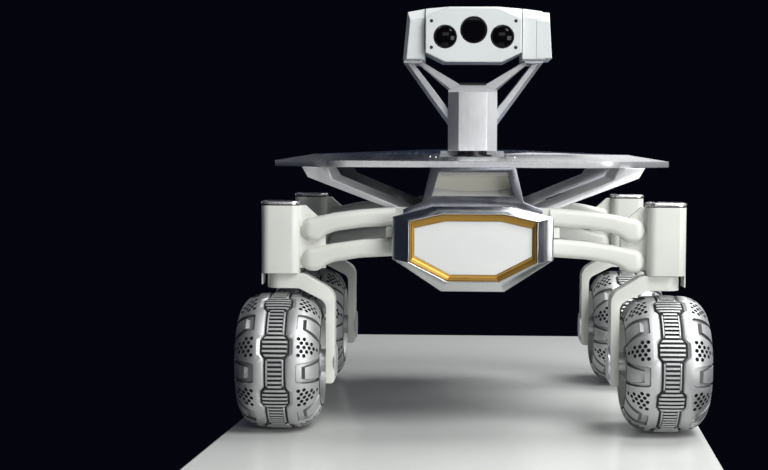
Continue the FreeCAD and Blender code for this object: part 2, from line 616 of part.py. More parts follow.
def cheek_wire(flip, x_bottom, lean, top, edge):
    """Outline of a cheek's side, leaning in towards its top, drawn in by edge all round."""
    front, back, bottom = CHEEK_FRONT + edge, CHEEK_BACK - edge, YOKE_TOP + edge
    low = top - edge - CHEEK_BEVEL
    high = top - edge
    outline = [(front, bottom), (back, bottom), (back, low), (back - CHEEK_BEVEL, high),
               (front + CHEEK_BEVEL, high), (front, low)]
    points = []
    for y, z in outline:
        x = x_bottom - lean * (z - YOKE_TOP) / (CHEEK_OUTER_TOP - YOKE_TOP)
        points.append(vec(flip * x, y, z))
    return Part.makePolygon(points + [points[0]])


def cheek(flip, outer):
    """Block beside the head: upright inner face, bevelled and leaning outer face."""
    inner = HEAD.side + CHEEK_GAP
    inner_wire = cheek_wire(flip, inner, 0, CHEEK_TOP, 0)
    shoulder_wire = cheek_wire(flip, outer - CHEEK_EDGE, CHEEK_LEAN, CHEEK_OUTER_TOP, 0)
    outer_wire = cheek_wire(flip, outer, CHEEK_LEAN, CHEEK_OUTER_TOP, CHEEK_EDGE)
    body = Part.makeLoft([inner_wire, shoulder_wire], True, True)
    body = body.fuse(Part.makeLoft([shoulder_wire, outer_wire], True, True))
    pin_hole = rod(TILT_PIN_R + SHAFT_FIT, vec(flip * (inner - 1), MAST_Y, TILT_Z),
                   vec(flip * (inner + TILT_PIN_GRIP + FACE_GAP), MAST_Y, TILT_Z))
    return one_solid(body.cut(pin_hole))


def left_cheek():
    """The wider cheek: its motor housing overhangs the yoke's seat and stops short of it."""
    relief = box(YOKE_SEAT_OUT, LEFT_CHEEK_OUT + 1, CHEEK_FRONT - 1, CHEEK_BACK + 1,
                 YOKE_TOP - 1, YOKE_TOP + TILT_MOTOR_LIFT)
    return one_solid(cheek(1, LEFT_CHEEK_OUT).cut(relief))


def head_housing():
    """Head body behind the plate: it grows from the plate's outline and carries both pins."""
    plate_back = HEAD_FRONT + HEAD_PLATE_THICK
    shoulder = plate_back + HEAD_TAPER
    body = octagon_loft(HEAD, plate_back, HEAD_BODY, shoulder)
    body = body.fuse(octagon_prism(HEAD_BODY, shoulder, HEAD_BACK))
    reach = HEAD.side + CHEEK_GAP + TILT_PIN_GRIP
    return one_solid(body.fuse(rod(TILT_PIN_R, vec(-reach, MAST_Y, TILT_Z), vec(reach, MAST_Y, TILT_Z))))


def head_plate():
    plate = octagon_prism(HEAD, HEAD_FRONT, HEAD_FRONT + HEAD_PLATE_THICK)
    for lens in LENSES:
        hole = rod(lens.r + CURVED_GAP, vec(lens.x, HEAD_FRONT - 1, lens.z),
                   vec(lens.x, HEAD_FRONT + HEAD_PLATE_THICK + 1, lens.z))
        plate = plate.cut(hole)
    return one_solid(plate)


def lenses():
    discs = []
    for lens in LENSES:
        discs.append(rod(lens.r, vec(lens.x, HEAD_FRONT + LENS_SINK, lens.z),
                         vec(lens.x, HEAD_FRONT + HEAD_PLATE_THICK, lens.z)))
    return discs


def main():
    save("hull", [hull()])
    save("belly_plate", [belly_plate()])
    save("tower", [tower()])
    save("solar_deck_frame", [deck_frame()])
    save("solar_cells", [solar_cells()])
    for end_name, end in ENDS:
        save(end_name + "_bezel", [at_end(bezel(), end)])
        save(end_name + "_trim", [at_end(trim(), end)])
        save(end_name + "_panel", [at_end(face_panel(), end)])

    brackets = [arm_bracket(end) for _, end in ENDS]
    save("arm_brackets", brackets + [mirrored_x(block) for block in brackets])
    save("arm_pins", arm_pins())
    right_struts = [at_end(strut(), end) for _, end in ENDS]
    save("deck_struts", right_struts + [mirrored_x(bar) for bar in right_struts])

    housing_shape, cap_shape, fork_shape = housing(), cap(), fork()
    hub_shape, wheel_shape = hub_motor(), wheel()
    caps = []
    for end_name, end in ENDS:
        for side_name, side in SIDES:
            corner = end_name + "_" + side_name
            save(corner + "_steering_housing", [at_corner(housing_shape, side, end)])
            save(corner + "_fork", [at_corner(fork_shape, side, end)])
            save(corner + "_hub_motor", [at_corner(hub_shape, side, end)])
            save(corner + "_wheel", [at_corner(wheel_shape, side, end)])
            caps.append(at_corner(cap_shape, side, end))
            for row in ARM_ROWS:
                bar = arm(row)
                bar.translate(vec(0, end * WHEELBASE / 2, 0))
                save(corner + "_" + row.name + "_arm", [bar if side > 0 else mirrored_x(bar)])
    save("housing_caps", caps)

    save("mast_turntable", [turntable()])
    save("mast", [mast()])
    save("yoke", [yoke()])
    save("right_cheek", [cheek(-1, RIGHT_CHEEK_OUT)])
    save("left_cheek", [left_cheek()])
    save("head_housing", [head_housing()])
    save("head_plate", [head_plate()])
    save("camera_lenses", lenses())


main()
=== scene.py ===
"""Looks of the planetary rover prototype, built round its packed frame.

Lengths in this file are millimetres in the frame's own axes: -Y is forward, +X is the rover's
own left-hand side and +Z is up. Pieces are turned into metres when their meshes are made.
"""
import json
import math
from collections import namedtuple

import bmesh
import bpy
import numpy as np
from mathutils import Matrix, Vector
from mathutils.geometry import delaunay_2d_cdt


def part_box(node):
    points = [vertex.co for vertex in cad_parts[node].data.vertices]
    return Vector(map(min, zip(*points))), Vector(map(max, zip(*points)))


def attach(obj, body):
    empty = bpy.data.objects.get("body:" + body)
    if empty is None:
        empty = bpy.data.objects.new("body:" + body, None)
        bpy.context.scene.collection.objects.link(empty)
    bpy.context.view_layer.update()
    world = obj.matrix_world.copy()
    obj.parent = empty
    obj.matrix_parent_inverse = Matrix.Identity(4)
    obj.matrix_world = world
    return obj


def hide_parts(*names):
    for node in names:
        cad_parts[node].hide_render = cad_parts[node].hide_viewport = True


bl_info = {
    "name": "Planetary rover looks",
    "version": (1, 0, 0),
    "blender": (4, 5, 0),
    "location": "View3D > Sidebar > Rover",
    "description": "Builds the visible surfaces, finishes and stage of a planetary rover prototype",
    "category": "Add Mesh",
}

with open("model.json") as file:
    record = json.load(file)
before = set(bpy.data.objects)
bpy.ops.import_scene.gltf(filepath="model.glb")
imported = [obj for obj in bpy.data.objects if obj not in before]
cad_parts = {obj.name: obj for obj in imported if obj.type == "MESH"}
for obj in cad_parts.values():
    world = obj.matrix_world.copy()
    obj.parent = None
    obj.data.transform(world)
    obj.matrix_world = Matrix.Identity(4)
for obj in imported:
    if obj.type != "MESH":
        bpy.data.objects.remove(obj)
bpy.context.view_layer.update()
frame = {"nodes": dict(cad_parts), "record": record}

MM = 0.001
SIDES = (("left", 1.0), ("right", -1.0))
ENDS = (("front", -1.0), ("rear", 1.0))
CORNERS = [(end + "_" + side, s, e) for end, e in ENDS for side, s in SIDES]
BODY_OF = {node: body for body, members in frame["record"]["behaviour"]["bodies"].items()
           for node in members}
SLOT_OF = {row["node"]: row["material_slot"] for row in frame["record"]["subparts"]}


def low(node):
    """Lowest corner of a CAD node, in millimetres."""
    return np.array(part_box(node)[0]) / MM


def middle_of(node):
    """Middle of a CAD node's box, in millimetres."""
    return (low(node) + np.array(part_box(node)[1]) / MM) / 2


# ---- settings a user would change ---------------------------------------------------------
def colour(name, description, default):
    return bpy.props.FloatVectorProperty(name=name, description=description, default=default,
                                         subtype="COLOR", size=3, min=0.0, max=1.0)


def length(name, description, millimetres):
    return bpy.props.FloatProperty(name=name, description=description, default=millimetres * MM,
                                   min=0.0, subtype="DISTANCE", unit="LENGTH", precision=5)


class RoverColours(bpy.types.PropertyGroup):
    """Colours of the rover's finishes."""
    warm_white: colour("Warm white", "Paint of the arms, housings and forks", (0.66, 0.67, 0.625))
    head_white: colour("Head white", "Paint of the camera head and its cheeks", (0.63, 0.66, 0.66))
    panel_white: colour("Panel white", "Paint of the nose panels", (0.69, 0.70, 0.69))
    aluminium: colour("Aluminium", "Bare aluminium of the tower, mast, struts and deck",
                      (0.72, 0.73, 0.74))
    wheel_aluminium: colour("Wheel aluminium", "Blasted aluminium of the wheels",
                            (0.56, 0.57, 0.57))
    gold: colour("Gold", "Anodised ring round the nose panels", (0.40, 0.235, 0.055))
    cell: colour("Solar cell", "Cells under the deck's cover glass", (0.018, 0.030, 0.085))
    black: colour("Black", "Caps, collar and lens barrels", (0.012, 0.012, 0.014))


class RoverSizes(bpy.types.PropertyGroup):
    """Sizes of the details on top of the frame."""
    rib_depth: length("Rib depth", "Depth of the gaps between the tread's ribs", 3.0)
    groove_depth: length("Groove depth", "Depth of the groove on both sides of the tread", 5.0)
    channel_depth: length("Channel depth", "Depth of the U-shaped channels on the wheel shoulders",
                          3.6)
    hole_depth: length("Hole depth", "Depth of the six-sided holes on the wheel shoulders", 3.6)
    edge: length("Edge rounding", "Rounding of the machined edges", 0.8)
    arm_edge: length("Arm rounding", "Rounding along the suspension arms", 8.0)


class RoverStage(bpy.types.PropertyGroup):
    """Floor, backdrop and lights."""
    floor: colour("Floor", "Colour of the plain floor", (0.66, 0.67, 0.65))
    backdrop: colour("Backdrop", "Colour behind the floor", (0.0016, 0.0016, 0.0045))
    surroundings: colour("Surroundings", "Dim light from all round", (0.014, 0.018, 0.030))
    power: bpy.props.FloatProperty(name="Light", description="Share of the lamps' full power",
                                   default=1.0, min=0.0, subtype="FACTOR")


# ---- shader sheets ------------------------------------------------------------------------
class Wire:
    """A value in a shader sheet. Arithmetic on it adds Math nodes."""

    def __init__(self, sheet, socket):
        self.sheet = sheet
        self.socket = socket

    def maths(self, operation, first, second=0.0):
        return self.sheet.put("Math", {"operation": operation}, {0: first, 1: second})

    def __add__(self, other):
        return self.maths("ADD", self, other)

    def __rsub__(self, other):
        return self.maths("SUBTRACT", other, self)

    def __mul__(self, other):
        return self.maths("MULTIPLY", self, other)

    def __truediv__(self, other):
        return self.maths("DIVIDE", self, other)

    def __lt__(self, other):
        return self.maths("LESS_THAN", self, other)


class Sheet:
    """The node tree of one material."""

    def __init__(self, name):
        self.material = bpy.data.materials.new(name)
        self.material.use_nodes = True
        self.tree = self.material.node_tree
        self.tree.nodes.clear()

    def put(self, kind, settings, inputs, output=0):
        """Adds one node: its settings first, then the values or wires of its sockets."""
        node = self.tree.nodes.new("ShaderNode" + kind)
        for key, value in settings.items():
            setattr(node, key, value)
        for key, value in inputs.items():
            if isinstance(value, Wire):
                self.tree.links.new(value.socket, node.inputs[key])
            else:
                node.inputs[key].default_value = value
        return Wire(self, node.outputs[output])

    def noise(self, scale, stretch=(1, 1, 1), detail=3.0):
        """Cloudy noise from 0 to 1, about scale times stretch spots per metre of the object."""
        where = self.put("TexCoord", {}, {}, "Object")
        placed = self.put("Mapping", {}, {"Vector": where, "Scale": stretch})
        return self.put("TexNoise", {}, {"Vector": placed, "Scale": scale, "Detail": detail})

    def between(self, factor, first, second):
        """Colour mixed from first to second."""
        return self.put("Mix", {"data_type": "RGBA"}, {0: factor, 6: first, 7: second}, 2)

    def span(self, value, low_end, high_end):
        """0 below the low end, 1 above the high end and a smooth step between."""
        return self.put("MapRange", {"interpolation_type": "SMOOTHSTEP"},
                        {0: value, 1: low_end, 2: high_end})

    def relief(self, height, distance, strength):
        return self.put("Bump", {}, {"Height": height, "Distance": distance, "Strength": strength})

    def finish(self, sockets):
        """Ends the sheet with one surface shader and hands back the material."""
        shader = self.put("BsdfPrincipled", {}, sockets)
        out = self.tree.nodes.new("ShaderNodeOutputMaterial")
        self.tree.links.new(shader.socket, out.inputs["Surface"])
        return self.material


def opaque(shade, gain=1.0):
    return tuple(min(1.0, c * gain) for c in shade) + (1.0,)


def paint(name, shade, rough):
    """Sprayed satin paint: a faint cloudy tone, an even grain and dust-soft sheen changes."""
    sheet = Sheet(name)
    cloud = sheet.noise(9.0, detail=4.0)
    grain = sheet.noise(1400.0, detail=2.0)
    tone = sheet.between(sheet.span(cloud, 0.35, 0.7), opaque(shade, 0.965), opaque(shade, 1.02))
    return sheet.finish({"Base Color": tone, "Roughness": cloud * 0.12 + (rough - 0.06),
                         "IOR": 1.46, "Coat Weight": 0.12, "Coat Roughness": 0.25,
                         "Normal": sheet.relief(grain, 0.00006, 0.35)})


def brushed(name, shade, rough, stretch, metal=1.0):
    """Bare metal brushed one way: fine streaks, long where stretch is small."""
    sheet = Sheet(name)
    streaks = sheet.noise(1.0, stretch, detail=4.0)
    broad = sheet.noise(11.0, detail=3.0)
    tone = sheet.between(streaks, opaque(shade, 0.86), opaque(shade, 1.08))
    return sheet.finish({"Base Color": tone, "Metallic": metal,
                         "Roughness": streaks * 0.16 + broad * 0.1 + (rough - 0.13),
                         "Normal": sheet.relief(streaks, 0.00008, 0.5)})


def blasted(name, shade, rough):
    """Blasted metal: a fine sparkle with slow changes of sheen and faint turning lines."""
    sheet = Sheet(name)
    grit = sheet.noise(1500.0, detail=2.0)
    wear = sheet.noise(38.0, detail=5.0)
    lines = sheet.noise(1.0, (1900.0, 22.0, 22.0), detail=2.0)
    tone = sheet.between(wear, opaque(shade, 0.82), opaque(shade, 1.12))
    height = grit * 0.7 + lines * 0.4
    return sheet.finish({"Base Color": tone, "Metallic": 0.88,
                         "Roughness": grit * 0.12 + wear * 0.16 + (rough - 0.14),
                         "Normal": sheet.relief(height, 0.00012, 0.6)})


def plain(name, shade, rough, metal=0.0, bump=0.00004, ior=1.45):
    """A moulded or anodised finish with an even fine grain."""
    sheet = Sheet(name)
    spots = sheet.noise(900.0, detail=2.0)
    tone = sheet.between(spots, opaque(shade, 0.92), opaque(shade, 1.06))
    return sheet.finish({"Base Color": tone, "Metallic": metal, "IOR": ior,
                         "Roughness": spots * 0.06 + (rough - 0.03),
                         "Normal": sheet.relief(spots, bump, 0.5)})


CELL_SIDE = 0.040                    # metres, as in all shader coordinates
FINGER_STEP = 0.0016


def solar(name, shade):
    """Rows of dark cells with cut corners and fine silver lines, under glass."""
    sheet = Sheet(name)
    where = sheet.put("TexCoord", {}, {}, "Object")
    parts = [sheet.put("SeparateXYZ", {}, {0: where}, axis) for axis in (0, 1)]

    def fold(value, step):
        """Distance from the nearest line of a set of lines step apart, as a share of step."""
        share = value.maths("FRACT", value / step)
        return value.maths("MINIMUM", share, 1.0 - share)

    cell = [fold(part, CELL_SIDE) for part in parts]
    gap = parts[0].maths("MINIMUM", cell[0], cell[1]) < 0.022
    corner = (cell[0] + cell[1]) < 0.13
    bars = fold(parts[0] + CELL_SIDE / 4, CELL_SIDE / 2) < 0.035
    fingers = fold(parts[1], FINGER_STEP) < 0.10
    metal = parts[0].maths("MAXIMUM", bars, fingers * 0.35)
    cloud = sheet.noise(25.0, detail=3.0)
    blue = sheet.between(cloud, opaque(shade, 0.8), opaque(shade, 1.5))
    lined = sheet.between(metal, blue, (0.32, 0.34, 0.38, 1.0))
    rest = sheet.between(parts[0].maths("MAXIMUM", gap, corner), lined, (0.40, 0.41, 0.42, 1.0))
    return sheet.finish({"Base Color": rest, "Roughness": cloud * 0.05 + 0.16, "Coat Weight": 1.0,
                         "Coat Roughness": 0.03, "IOR": 1.5})


FINISHES = {}
FINE_ALONG_Y = (30.0, 420.0, 30.0)   # brush marks that run across the rover


def build_finishes(scene):
    """Make every finish, by the record's slot names and a few names for small details, and give
    the frame's own nodes theirs"""
    shades = scene.rover_colours
    metal, dark = tuple(shades.aluminium), tuple(shades.black)
    FINISHES.update({
        "satin_aluminium": brushed("satin aluminium", metal, 0.38, (260.0, 26.0, 900.0), 0.8),
        "brushed_aluminium": brushed("brushed aluminium", metal, 0.42, (420.0, 420.0, 60.0), 0.72),
        "polished_aluminium": brushed("polished aluminium", metal, 0.19, FINE_ALONG_Y),
        # Darker metal painted on the faces of the struts behind the rover's middle: painted shade
        # for the shadow the deck casts on the rear struts.
        "rear_strut_shade_metal": brushed("rear strut shade metal", (0.20, 0.20, 0.22), 0.30, FINE_ALONG_Y),
        # Near-black metal painted on the steep walls of the wheels' channels: painted shade for the
        # shadow in the channels.
        "channel_wall_shade": blasted("channel wall shade", (0.22, 0.22, 0.22), 0.5),
        "tower_metal": brushed("tower metal", (0.36, 0.37, 0.41), 0.24, FINE_ALONG_Y),
        "deck_metal": brushed("deck metal", metal, 0.27, (40.0, 12.0, 40.0)),
        "recess_wall": plain("recess wall", (0.50, 0.49, 0.42), 0.45, metal=0.5),
        "head_paint": paint("head paint", tuple(shades.head_white), 0.38),
        "milled_aluminium": blasted("milled aluminium", tuple(shades.wheel_aluminium), 0.55),
        "gold_anodised": plain("gold anodised", tuple(shades.gold), 0.46, metal=1.0),
        "white_paint": paint("panel white paint", tuple(shades.panel_white), 0.36),
        "warm_white_paint": paint("warm white paint", tuple(shades.warm_white), 0.42),
        "solar_cells": solar("solar cells", tuple(shades.cell)),
        "black_gloss": plain("black gloss", dark, 0.12),
        "dark_plastic": plain("dark plastic", dark, 0.35),
        "lens_glass": plain("lens glass", (0.002, 0.002, 0.003), 0.04, bump=0.0, ior=1.22),
        "chrome": plain("chrome", (0.86, 0.84, 0.84), 0.26, metal=0.9, bump=0.0),
        # Near-black finish painted on the groove floor, the tread's gaps and rib flanks, and in the
        # holes: painted shade for the shadow in them.
        "painted_pit_shade": plain("painted shade in holes and gaps", (0.03, 0.03, 0.032), 0.6),
        "steel": plain("screw steel", (0.50, 0.50, 0.50), 0.26, metal=1.0),
    })
    for node, thing in frame["nodes"].items():
        thing.data.materials.clear()
        thing.data.materials.append(FINISHES[SLOT_OF[node]])


# ---- meshes -------------------------------------------------------------------------------
Part = namedtuple("Part", "points faces finish")
ROUND = 48                           # points round a lens, its rim and its hole


def grid_faces(rows, columns, wrap):
    """Quads of a grid of points, counter-clockwise when rows run right and columns run up."""
    i = np.arange(rows - 1)[:, None] * columns
    j = np.arange(columns if wrap else columns - 1)[None, :]
    k = (j + 1) % columns
    quads = np.stack([i + j, i + columns + j, i + columns + k, i + k], axis=-1)
    return quads.reshape(-1, 4)


def surface(points, wrap, finish):
    """A grid of points, as rows of equal length, made one part."""
    points = np.array(points)
    return Part(points.reshape(-1, 3), grid_faces(points.shape[0], points.shape[1], wrap), finish)


def at_y(flat, y):
    """Points (x, z) placed in the upright plane y."""
    return np.column_stack([flat[:, 0], np.full(len(flat), y), flat[:, 1]])


def at_z(flat, z):
    """Points (x, y) placed at height z."""
    return np.column_stack([flat, np.full(len(flat), z)])


def piece(name, parts, node, stands_for, crease, outward=False, bevel=0.0):
    """Joins parts, in millimetres, into one mesh piece with the body and slot of a CAD node.

    With outward the closed shells get their faces turned out again; with bevel the sharp edges
    are rounded by that many millimetres."""
    mesh = bpy.data.meshes.new(name)
    points, faces, shades, finishes = [], [], [], []
    base = 0
    for part in parts:
        points.append(part.points)
        if part.finish not in finishes:
            finishes.append(part.finish)
        for face in (part.faces.tolist() if isinstance(part.faces, np.ndarray) else part.faces):
            faces.append([base + corner for corner in face])
            shades.append(finishes.index(part.finish))
        base += len(part.points)
    mesh.from_pydata((np.concatenate(points) * MM).tolist(), [], faces)
    for finish in finishes:
        mesh.materials.append(FINISHES[finish])
    mesh.polygons.foreach_set("material_index", shades)
    work = bmesh.new()
    work.from_mesh(mesh)
    bmesh.ops.remove_doubles(work, verts=work.verts, dist=2e-6)
    bmesh.ops.dissolve_degenerate(work, dist=1e-6, edges=work.edges)
    if outward:
        bmesh.ops.recalc_face_normals(work, faces=work.faces)
    work.to_mesh(mesh)
    work.free()
    return settled(name, mesh, node, stands_for, crease, bevel)


def settled(name, mesh, node, stands_for, crease, bevel):
    """Puts a finished mesh in the scene, shades it and ties it to its node's body and slot."""
    thing = bpy.data.objects.new(name, mesh)
    bpy.context.scene.collection.objects.link(thing)
    mesh.shade_smooth()
    if bevel > 0.0:
        rounding = thing.modifiers.new("rounding", "BEVEL")
        rounding.width = bevel * MM
        rounding.segments = 3
        rounding.limit_method = "ANGLE"
        rounding.angle_limit = math.radians(crease)
        rounding.harden_normals = True
        rounding.use_clamp_overlap = True
    else:
        mesh.set_sharp_from_angle(angle=math.radians(crease))
    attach(thing, BODY_OF[node])
    if stands_for:
        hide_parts(*stands_for)
    return thing


FLAT_WITHIN = 0.6                    # degrees between two triangles that are one face
SOFTENED_CREASE = 28.0               # degrees from which an edge of a copied node is rounded


def softened(node, width, finish=None, rear_shade_finish=None):
    """A copy of a CAD node with its triangles merged into faces and its edges rounded. The rear
    finish, if any, goes to the faces behind the rover's middle."""
    mesh = frame["nodes"][node].data.copy()
    work = bmesh.new()
    work.from_mesh(mesh)
    bmesh.ops.remove_doubles(work, verts=work.verts, dist=5e-6)
    bmesh.ops.dissolve_limit(work, angle_limit=math.radians(FLAT_WITHIN), verts=work.verts,
                             edges=work.edges, use_dissolve_boundaries=False)
    work.to_mesh(mesh)
    work.free()
    if finish:
        mesh.materials[0] = FINISHES[finish]
    if rear_shade_finish:
        mesh.materials.append(FINISHES[rear_shade_finish])
        for face in mesh.polygons:
            face.material_index = int(face.center.y > 0.0)
    return settled(node + "_skin", mesh, node, (node,), SOFTENED_CREASE, width)


def inset_loop(loop, amount):
    """A closed loop (n, 2) drawn in along its own normals: each corner moves along the bisector
    of its two edges until both edges lie the amount further in."""
    ahead = np.roll(loop, -1, axis=0) - loop
    ahead = ahead / np.linalg.norm(ahead, axis=1, keepdims=True)
    left = np.stack([-ahead[:, 1], ahead[:, 0]], axis=1)
    before = np.roll(left, 1, axis=0)
    share = 1.0 + np.sum(left * before, axis=1, keepdims=True)
    return loop + amount * (left + before) / share


def stacked(rings, finish, closed=True):
    """Rings of equal length joined into a tube, with a flat face over each end when closed."""
    rings = np.array(rings)
    count = rings.shape[1]
    tube = surface(rings, True, finish)
    if not closed:
        return tube
    last = (len(rings) - 1) * count
    ends = [list(range(count))[::-1], list(range(last, last + count))]
    return tube._replace(faces=tube.faces.tolist() + ends)


def aim(direction):
    """Rotation rows that take local +Z to direction."""
    return np.array(Vector(direction).to_track_quat("Z", "Y").to_matrix())


def turned(outline, places, direction, finish, count):
    """The same lathe shape at many places: each (radius, height) step turned round an axis in
    the given direction, with count points to a ring."""
    angle = np.arange(count) * 2 * math.pi / count
    outline = np.array(outline, float)
    radius, height = outline[:, 0][:, None], outline[:, 1][:, None]
    rings = np.stack([radius * np.cos(angle), radius * np.sin(angle),
                      height + 0.0 * angle], axis=-1).reshape(-1, 3) @ aim(direction).T
    faces = grid_faces(len(outline), count, True).tolist()
    last = (len(outline) - 1) * count
    faces = [face[::-1] for face in faces]
    if outline[-1, 0] > 0.0:
        faces.append([last + k for k in range(count)])
    points, all_faces = [], []
    for index, place in enumerate(places):
        points.append(rings + np.array(place, float))
        base = index * len(rings)
        all_faces += [[base + corner for corner in face] for face in faces]
    return Part(np.concatenate(points), all_faces, finish)


def screws(places, direction, r):
    """Round-headed socket screws of radius r on a face: foot, rounded rim, flat top, socket."""
    outline = [(r, -0.3), (r, 0.75 * r), (0.9 * r, 0.9 * r), (0.58 * r, 0.9 * r),
               (0.52 * r, 0.3 * r), (0.0, 0.25 * r)]
    return turned(outline, places, direction, "steel", 12)


def drawn_in(loop, amounts):
    """A closed counter-clockwise loop (n, 2) whose edges each move inwards by their own amount:
    a corner is where its two moved edges cross."""
    loop = np.asarray(loop, float)
    along = np.roll(loop, -1, axis=0) - loop
    along = along / np.linalg.norm(along, axis=1, keepdims=True)
    inwards = np.stack([-along[:, 1], along[:, 0]], axis=1)
    on_edge = loop + np.array(amounts, float)[:, None] * inwards
    before, way = np.roll(on_edge, 1, axis=0), np.roll(along, 1, axis=0)
    gap = on_edge - before
    cross = way[:, 0] * along[:, 1] - way[:, 1] * along[:, 0]
    reach = (gap[:, 0] * along[:, 1] - gap[:, 1] * along[:, 0]) / cross
    return before + reach[:, None] * way


def slab(loop, middle, half, bevels, depth, finish):
    """A bar across the rover: an (x, z) outline carried along Y by half to either side of the
    middle. Each edge is bevelled by its own width over the same depth, front and back."""
    bevels = np.array(bevels)
    return stacked([at_y(drawn_in(loop, share * bevels), middle + shift) for share, shift in
                    ((1.0, -half), (0.0, depth - half), (0.0, half - depth), (1.0, half))], finish)


def rounded_loop(corners, radii, steps=6):
    """A closed counter-clockwise loop whose corners are each a tangent arc of their own radius."""
    corners = np.asarray(corners, float)
    runs = []
    for index, radius in enumerate(radii):
        here = corners[index]
        to_last = corners[index - 1] - here
        to_next = corners[(index + 1) % len(corners)] - here
        to_last, to_next = to_last / np.hypot(*to_last), to_next / np.hypot(*to_next)
        half = 0.5 * math.acos(float(np.clip(to_last @ to_next, -1.0, 1.0)))
        middle = (to_last + to_next) / np.hypot(*(to_last + to_next))
        centre = here + middle * radius / math.sin(half)
        start = here + to_last * radius / math.tan(half) - centre
        turn = np.linspace(0.0, math.pi - 2.0 * half, steps + 1)
        runs.append(centre + np.stack([start[0] * np.cos(turn) - start[1] * np.sin(turn),
                                       start[0] * np.sin(turn) + start[1] * np.cos(turn)], axis=1))
    return np.concatenate(runs)


def cut_face(outline, holes):
    """Points and faces of the flat area between an outline and its holes, all loops of (n, 2)
    points: a constrained triangulation, of which the faces inside the outline alone are kept."""
    flat, rings = [], []
    for loop in [outline, *holes]:
        rings.append(list(range(len(flat), len(flat) + len(loop))))
        flat += [Vector(spot) for spot in loop]
    made = delaunay_2d_cdt(flat, [], rings, 1, 1e-6, True)
    faces = [face for face, source in zip(made[2], made[5]) if source == [0]]
    return np.array([tuple(spot) for spot in made[0]]), faces


def pierced(outline, holes, y, finish):
    """A flat face in the plane y with round holes, each (x, z, radius)."""
    turn = np.arange(ROUND) * 2 * math.pi / ROUND
    circle = np.stack([np.cos(turn), np.sin(turn)], axis=1)
    spots, faces = cut_face(outline, [np.array([x, z]) + r * circle for x, z, r in holes])
    return Part(at_y(spots, y), faces, finish)


def mirrored(part, axis=0):
    """A part reflected left to right, or front to back with axis 1, its faces kept outward."""
    flip = np.ones(3)
    flip[axis] = -1.0
    return Part(part.points * flip, [list(face)[::-1] for face in part.faces], part.finish)


def moved(part, shift):
    return part._replace(points=part.points + np.array(shift, float))


# ---- wheels -------------------------------------------------------------------------------
WHEEL_R = 95.0
WHEEL_HALF = 58.5
SECTORS = 8
HALF_SECTOR = 22.5                   # degrees from a tread pad's middle to the next channel's
PAD_TURN = 18.3                      # a pad stands this many degrees above the front
CROWN_HALF = 22.0
CROWN_DROP = 0.7
SHOULDER_ARC = (22.222, 57.778, 36.523)     # centre x, centre radius and radius of the shoulder
COLUMN_KNOTS = np.array([0, 3, 5, 6, 8, 9, 12])
COLUMNS = np.arange(-12, 12)
PAD_FLAT = 5.6                       # degrees of the wide part of a pad, either side of its middle
PAD_END = 10.4                       # degrees where the tread is back at its narrow width
SKIN_DROP = 0.45                     # the finished skin lies this far below the bare wheel
RIBS = 96
RIB_STEP = 360.0 / RIBS
# Skin rows from the mid-plane outwards: x in the groove and over its edge, as (half width between
# pads, extra at a pad, depth), then the fixed x of the rows over the shoulder.
GROOVE_ROWS = ((15.0, 5.4, 2.6), (16.4, 7.6, 0.75), (16.9, 7.6, 0.5))
SHOULDER_FROM = 27.4
SHOULDER_ROWS = (28.8, 30.2, 32.4, 35.2, 38.2, 41.6, 43.6, 46.0, 48.4, 50.6, 52.6, 54.4, 56.0, 57.2,
                 58.2)
CHANNEL_FROM, BLOCK_FROM = 29.0, 40.0
# Half widths round the wheel, each as a row of x and a row of widths.
FIELD_WIDTH = ((27.4, 41.5, 49.0, 55.5, 58.5), (15.2, 15.2, 11.5, 6.0, 3.6))
CHANNEL_WIDTH = ((28.8, 30.2, 32.4, 58.5), (11.6, 12.9, 13.8, 15.8))
BLOCK_WIDTH = ((38.0, 42.0, 58.5), (7.0, 7.8, 10.8))


def shoulder(x):
    """Radius and outward normal of the bare wheel at distance x from its mid-plane: a shallow
    parabola over the crown, then one arc out to the side."""
    cx, cr, big = SHOULDER_ARC
    arc_up = np.sqrt(np.maximum(big ** 2 - (x - cx) ** 2, 0.0))
    on_arc = x > CROWN_HALF
    radius = np.where(on_arc, cr + arc_up, WHEEL_R - CROWN_DROP * (x / CROWN_HALF) ** 2)
    nx = np.where(on_arc, (x - cx) / big, 2 * CROWN_DROP * x / CROWN_HALF ** 2)
    nr = np.where(on_arc, arc_up / big, 1.0)
    size = np.sqrt(nx ** 2 + nr ** 2)
    return radius, nx / size, nr / size


def pad_share(angle):
    """1 over a pad, 0 between pads and a straight line between, by degrees from a pad's middle."""
    return np.interp(np.abs(angle), [PAD_FLAT, PAD_END], [1.0, 0.0])


def degrees_at(width, radius):
    return np.degrees(width / radius)


def shoulder_knots(x):
    """Degrees from a pad's middle of the lines the shoulder's columns follow: middle, edge of the
    hole field, edge and foot of the channel, foot and edge of the block in it, its middle."""
    r = shoulder(np.array(float(x)))[0]
    field, channel, block = (np.interp(x, *widths)
                             for widths in (FIELD_WIDTH, CHANNEL_WIDTH, BLOCK_WIDTH))
    return np.array([0.0, degrees_at(field, r), HALF_SECTOR - degrees_at(channel, r),
                     HALF_SECTOR - degrees_at(channel - 1.2, r),
                     HALF_SECTOR - degrees_at(block + 1.6, r),
                     HALF_SECTOR - degrees_at(block, r), HALF_SECTOR])


CROWN_KNOTS = np.array([0.0, PAD_FLAT, PAD_END, 13.0, 15.5, 18.5, HALF_SECTOR])


def local_angles(knots):
    """Degrees from the pad's middle of the 24 columns of one sector."""
    return np.sign(COLUMNS) * np.interp(np.abs(COLUMNS), COLUMN_KNOTS, knots)


def all_round(values):
    """One sector's row of values repeated for all eight sectors."""
    return np.tile(values, SECTORS)


def on_wheel(x, radius, angle):
    """Points at axial distance x, at a radius and at degrees above the wheel's front."""
    turn = np.radians(angle)
    return np.stack(np.broadcast_arrays(x, -radius * np.cos(turn), radius * np.sin(turn)), axis=-1)


def sector_turns():
    return np.repeat(np.arange(SECTORS) * 2 * HALF_SECTOR + PAD_TURN, len(COLUMNS))


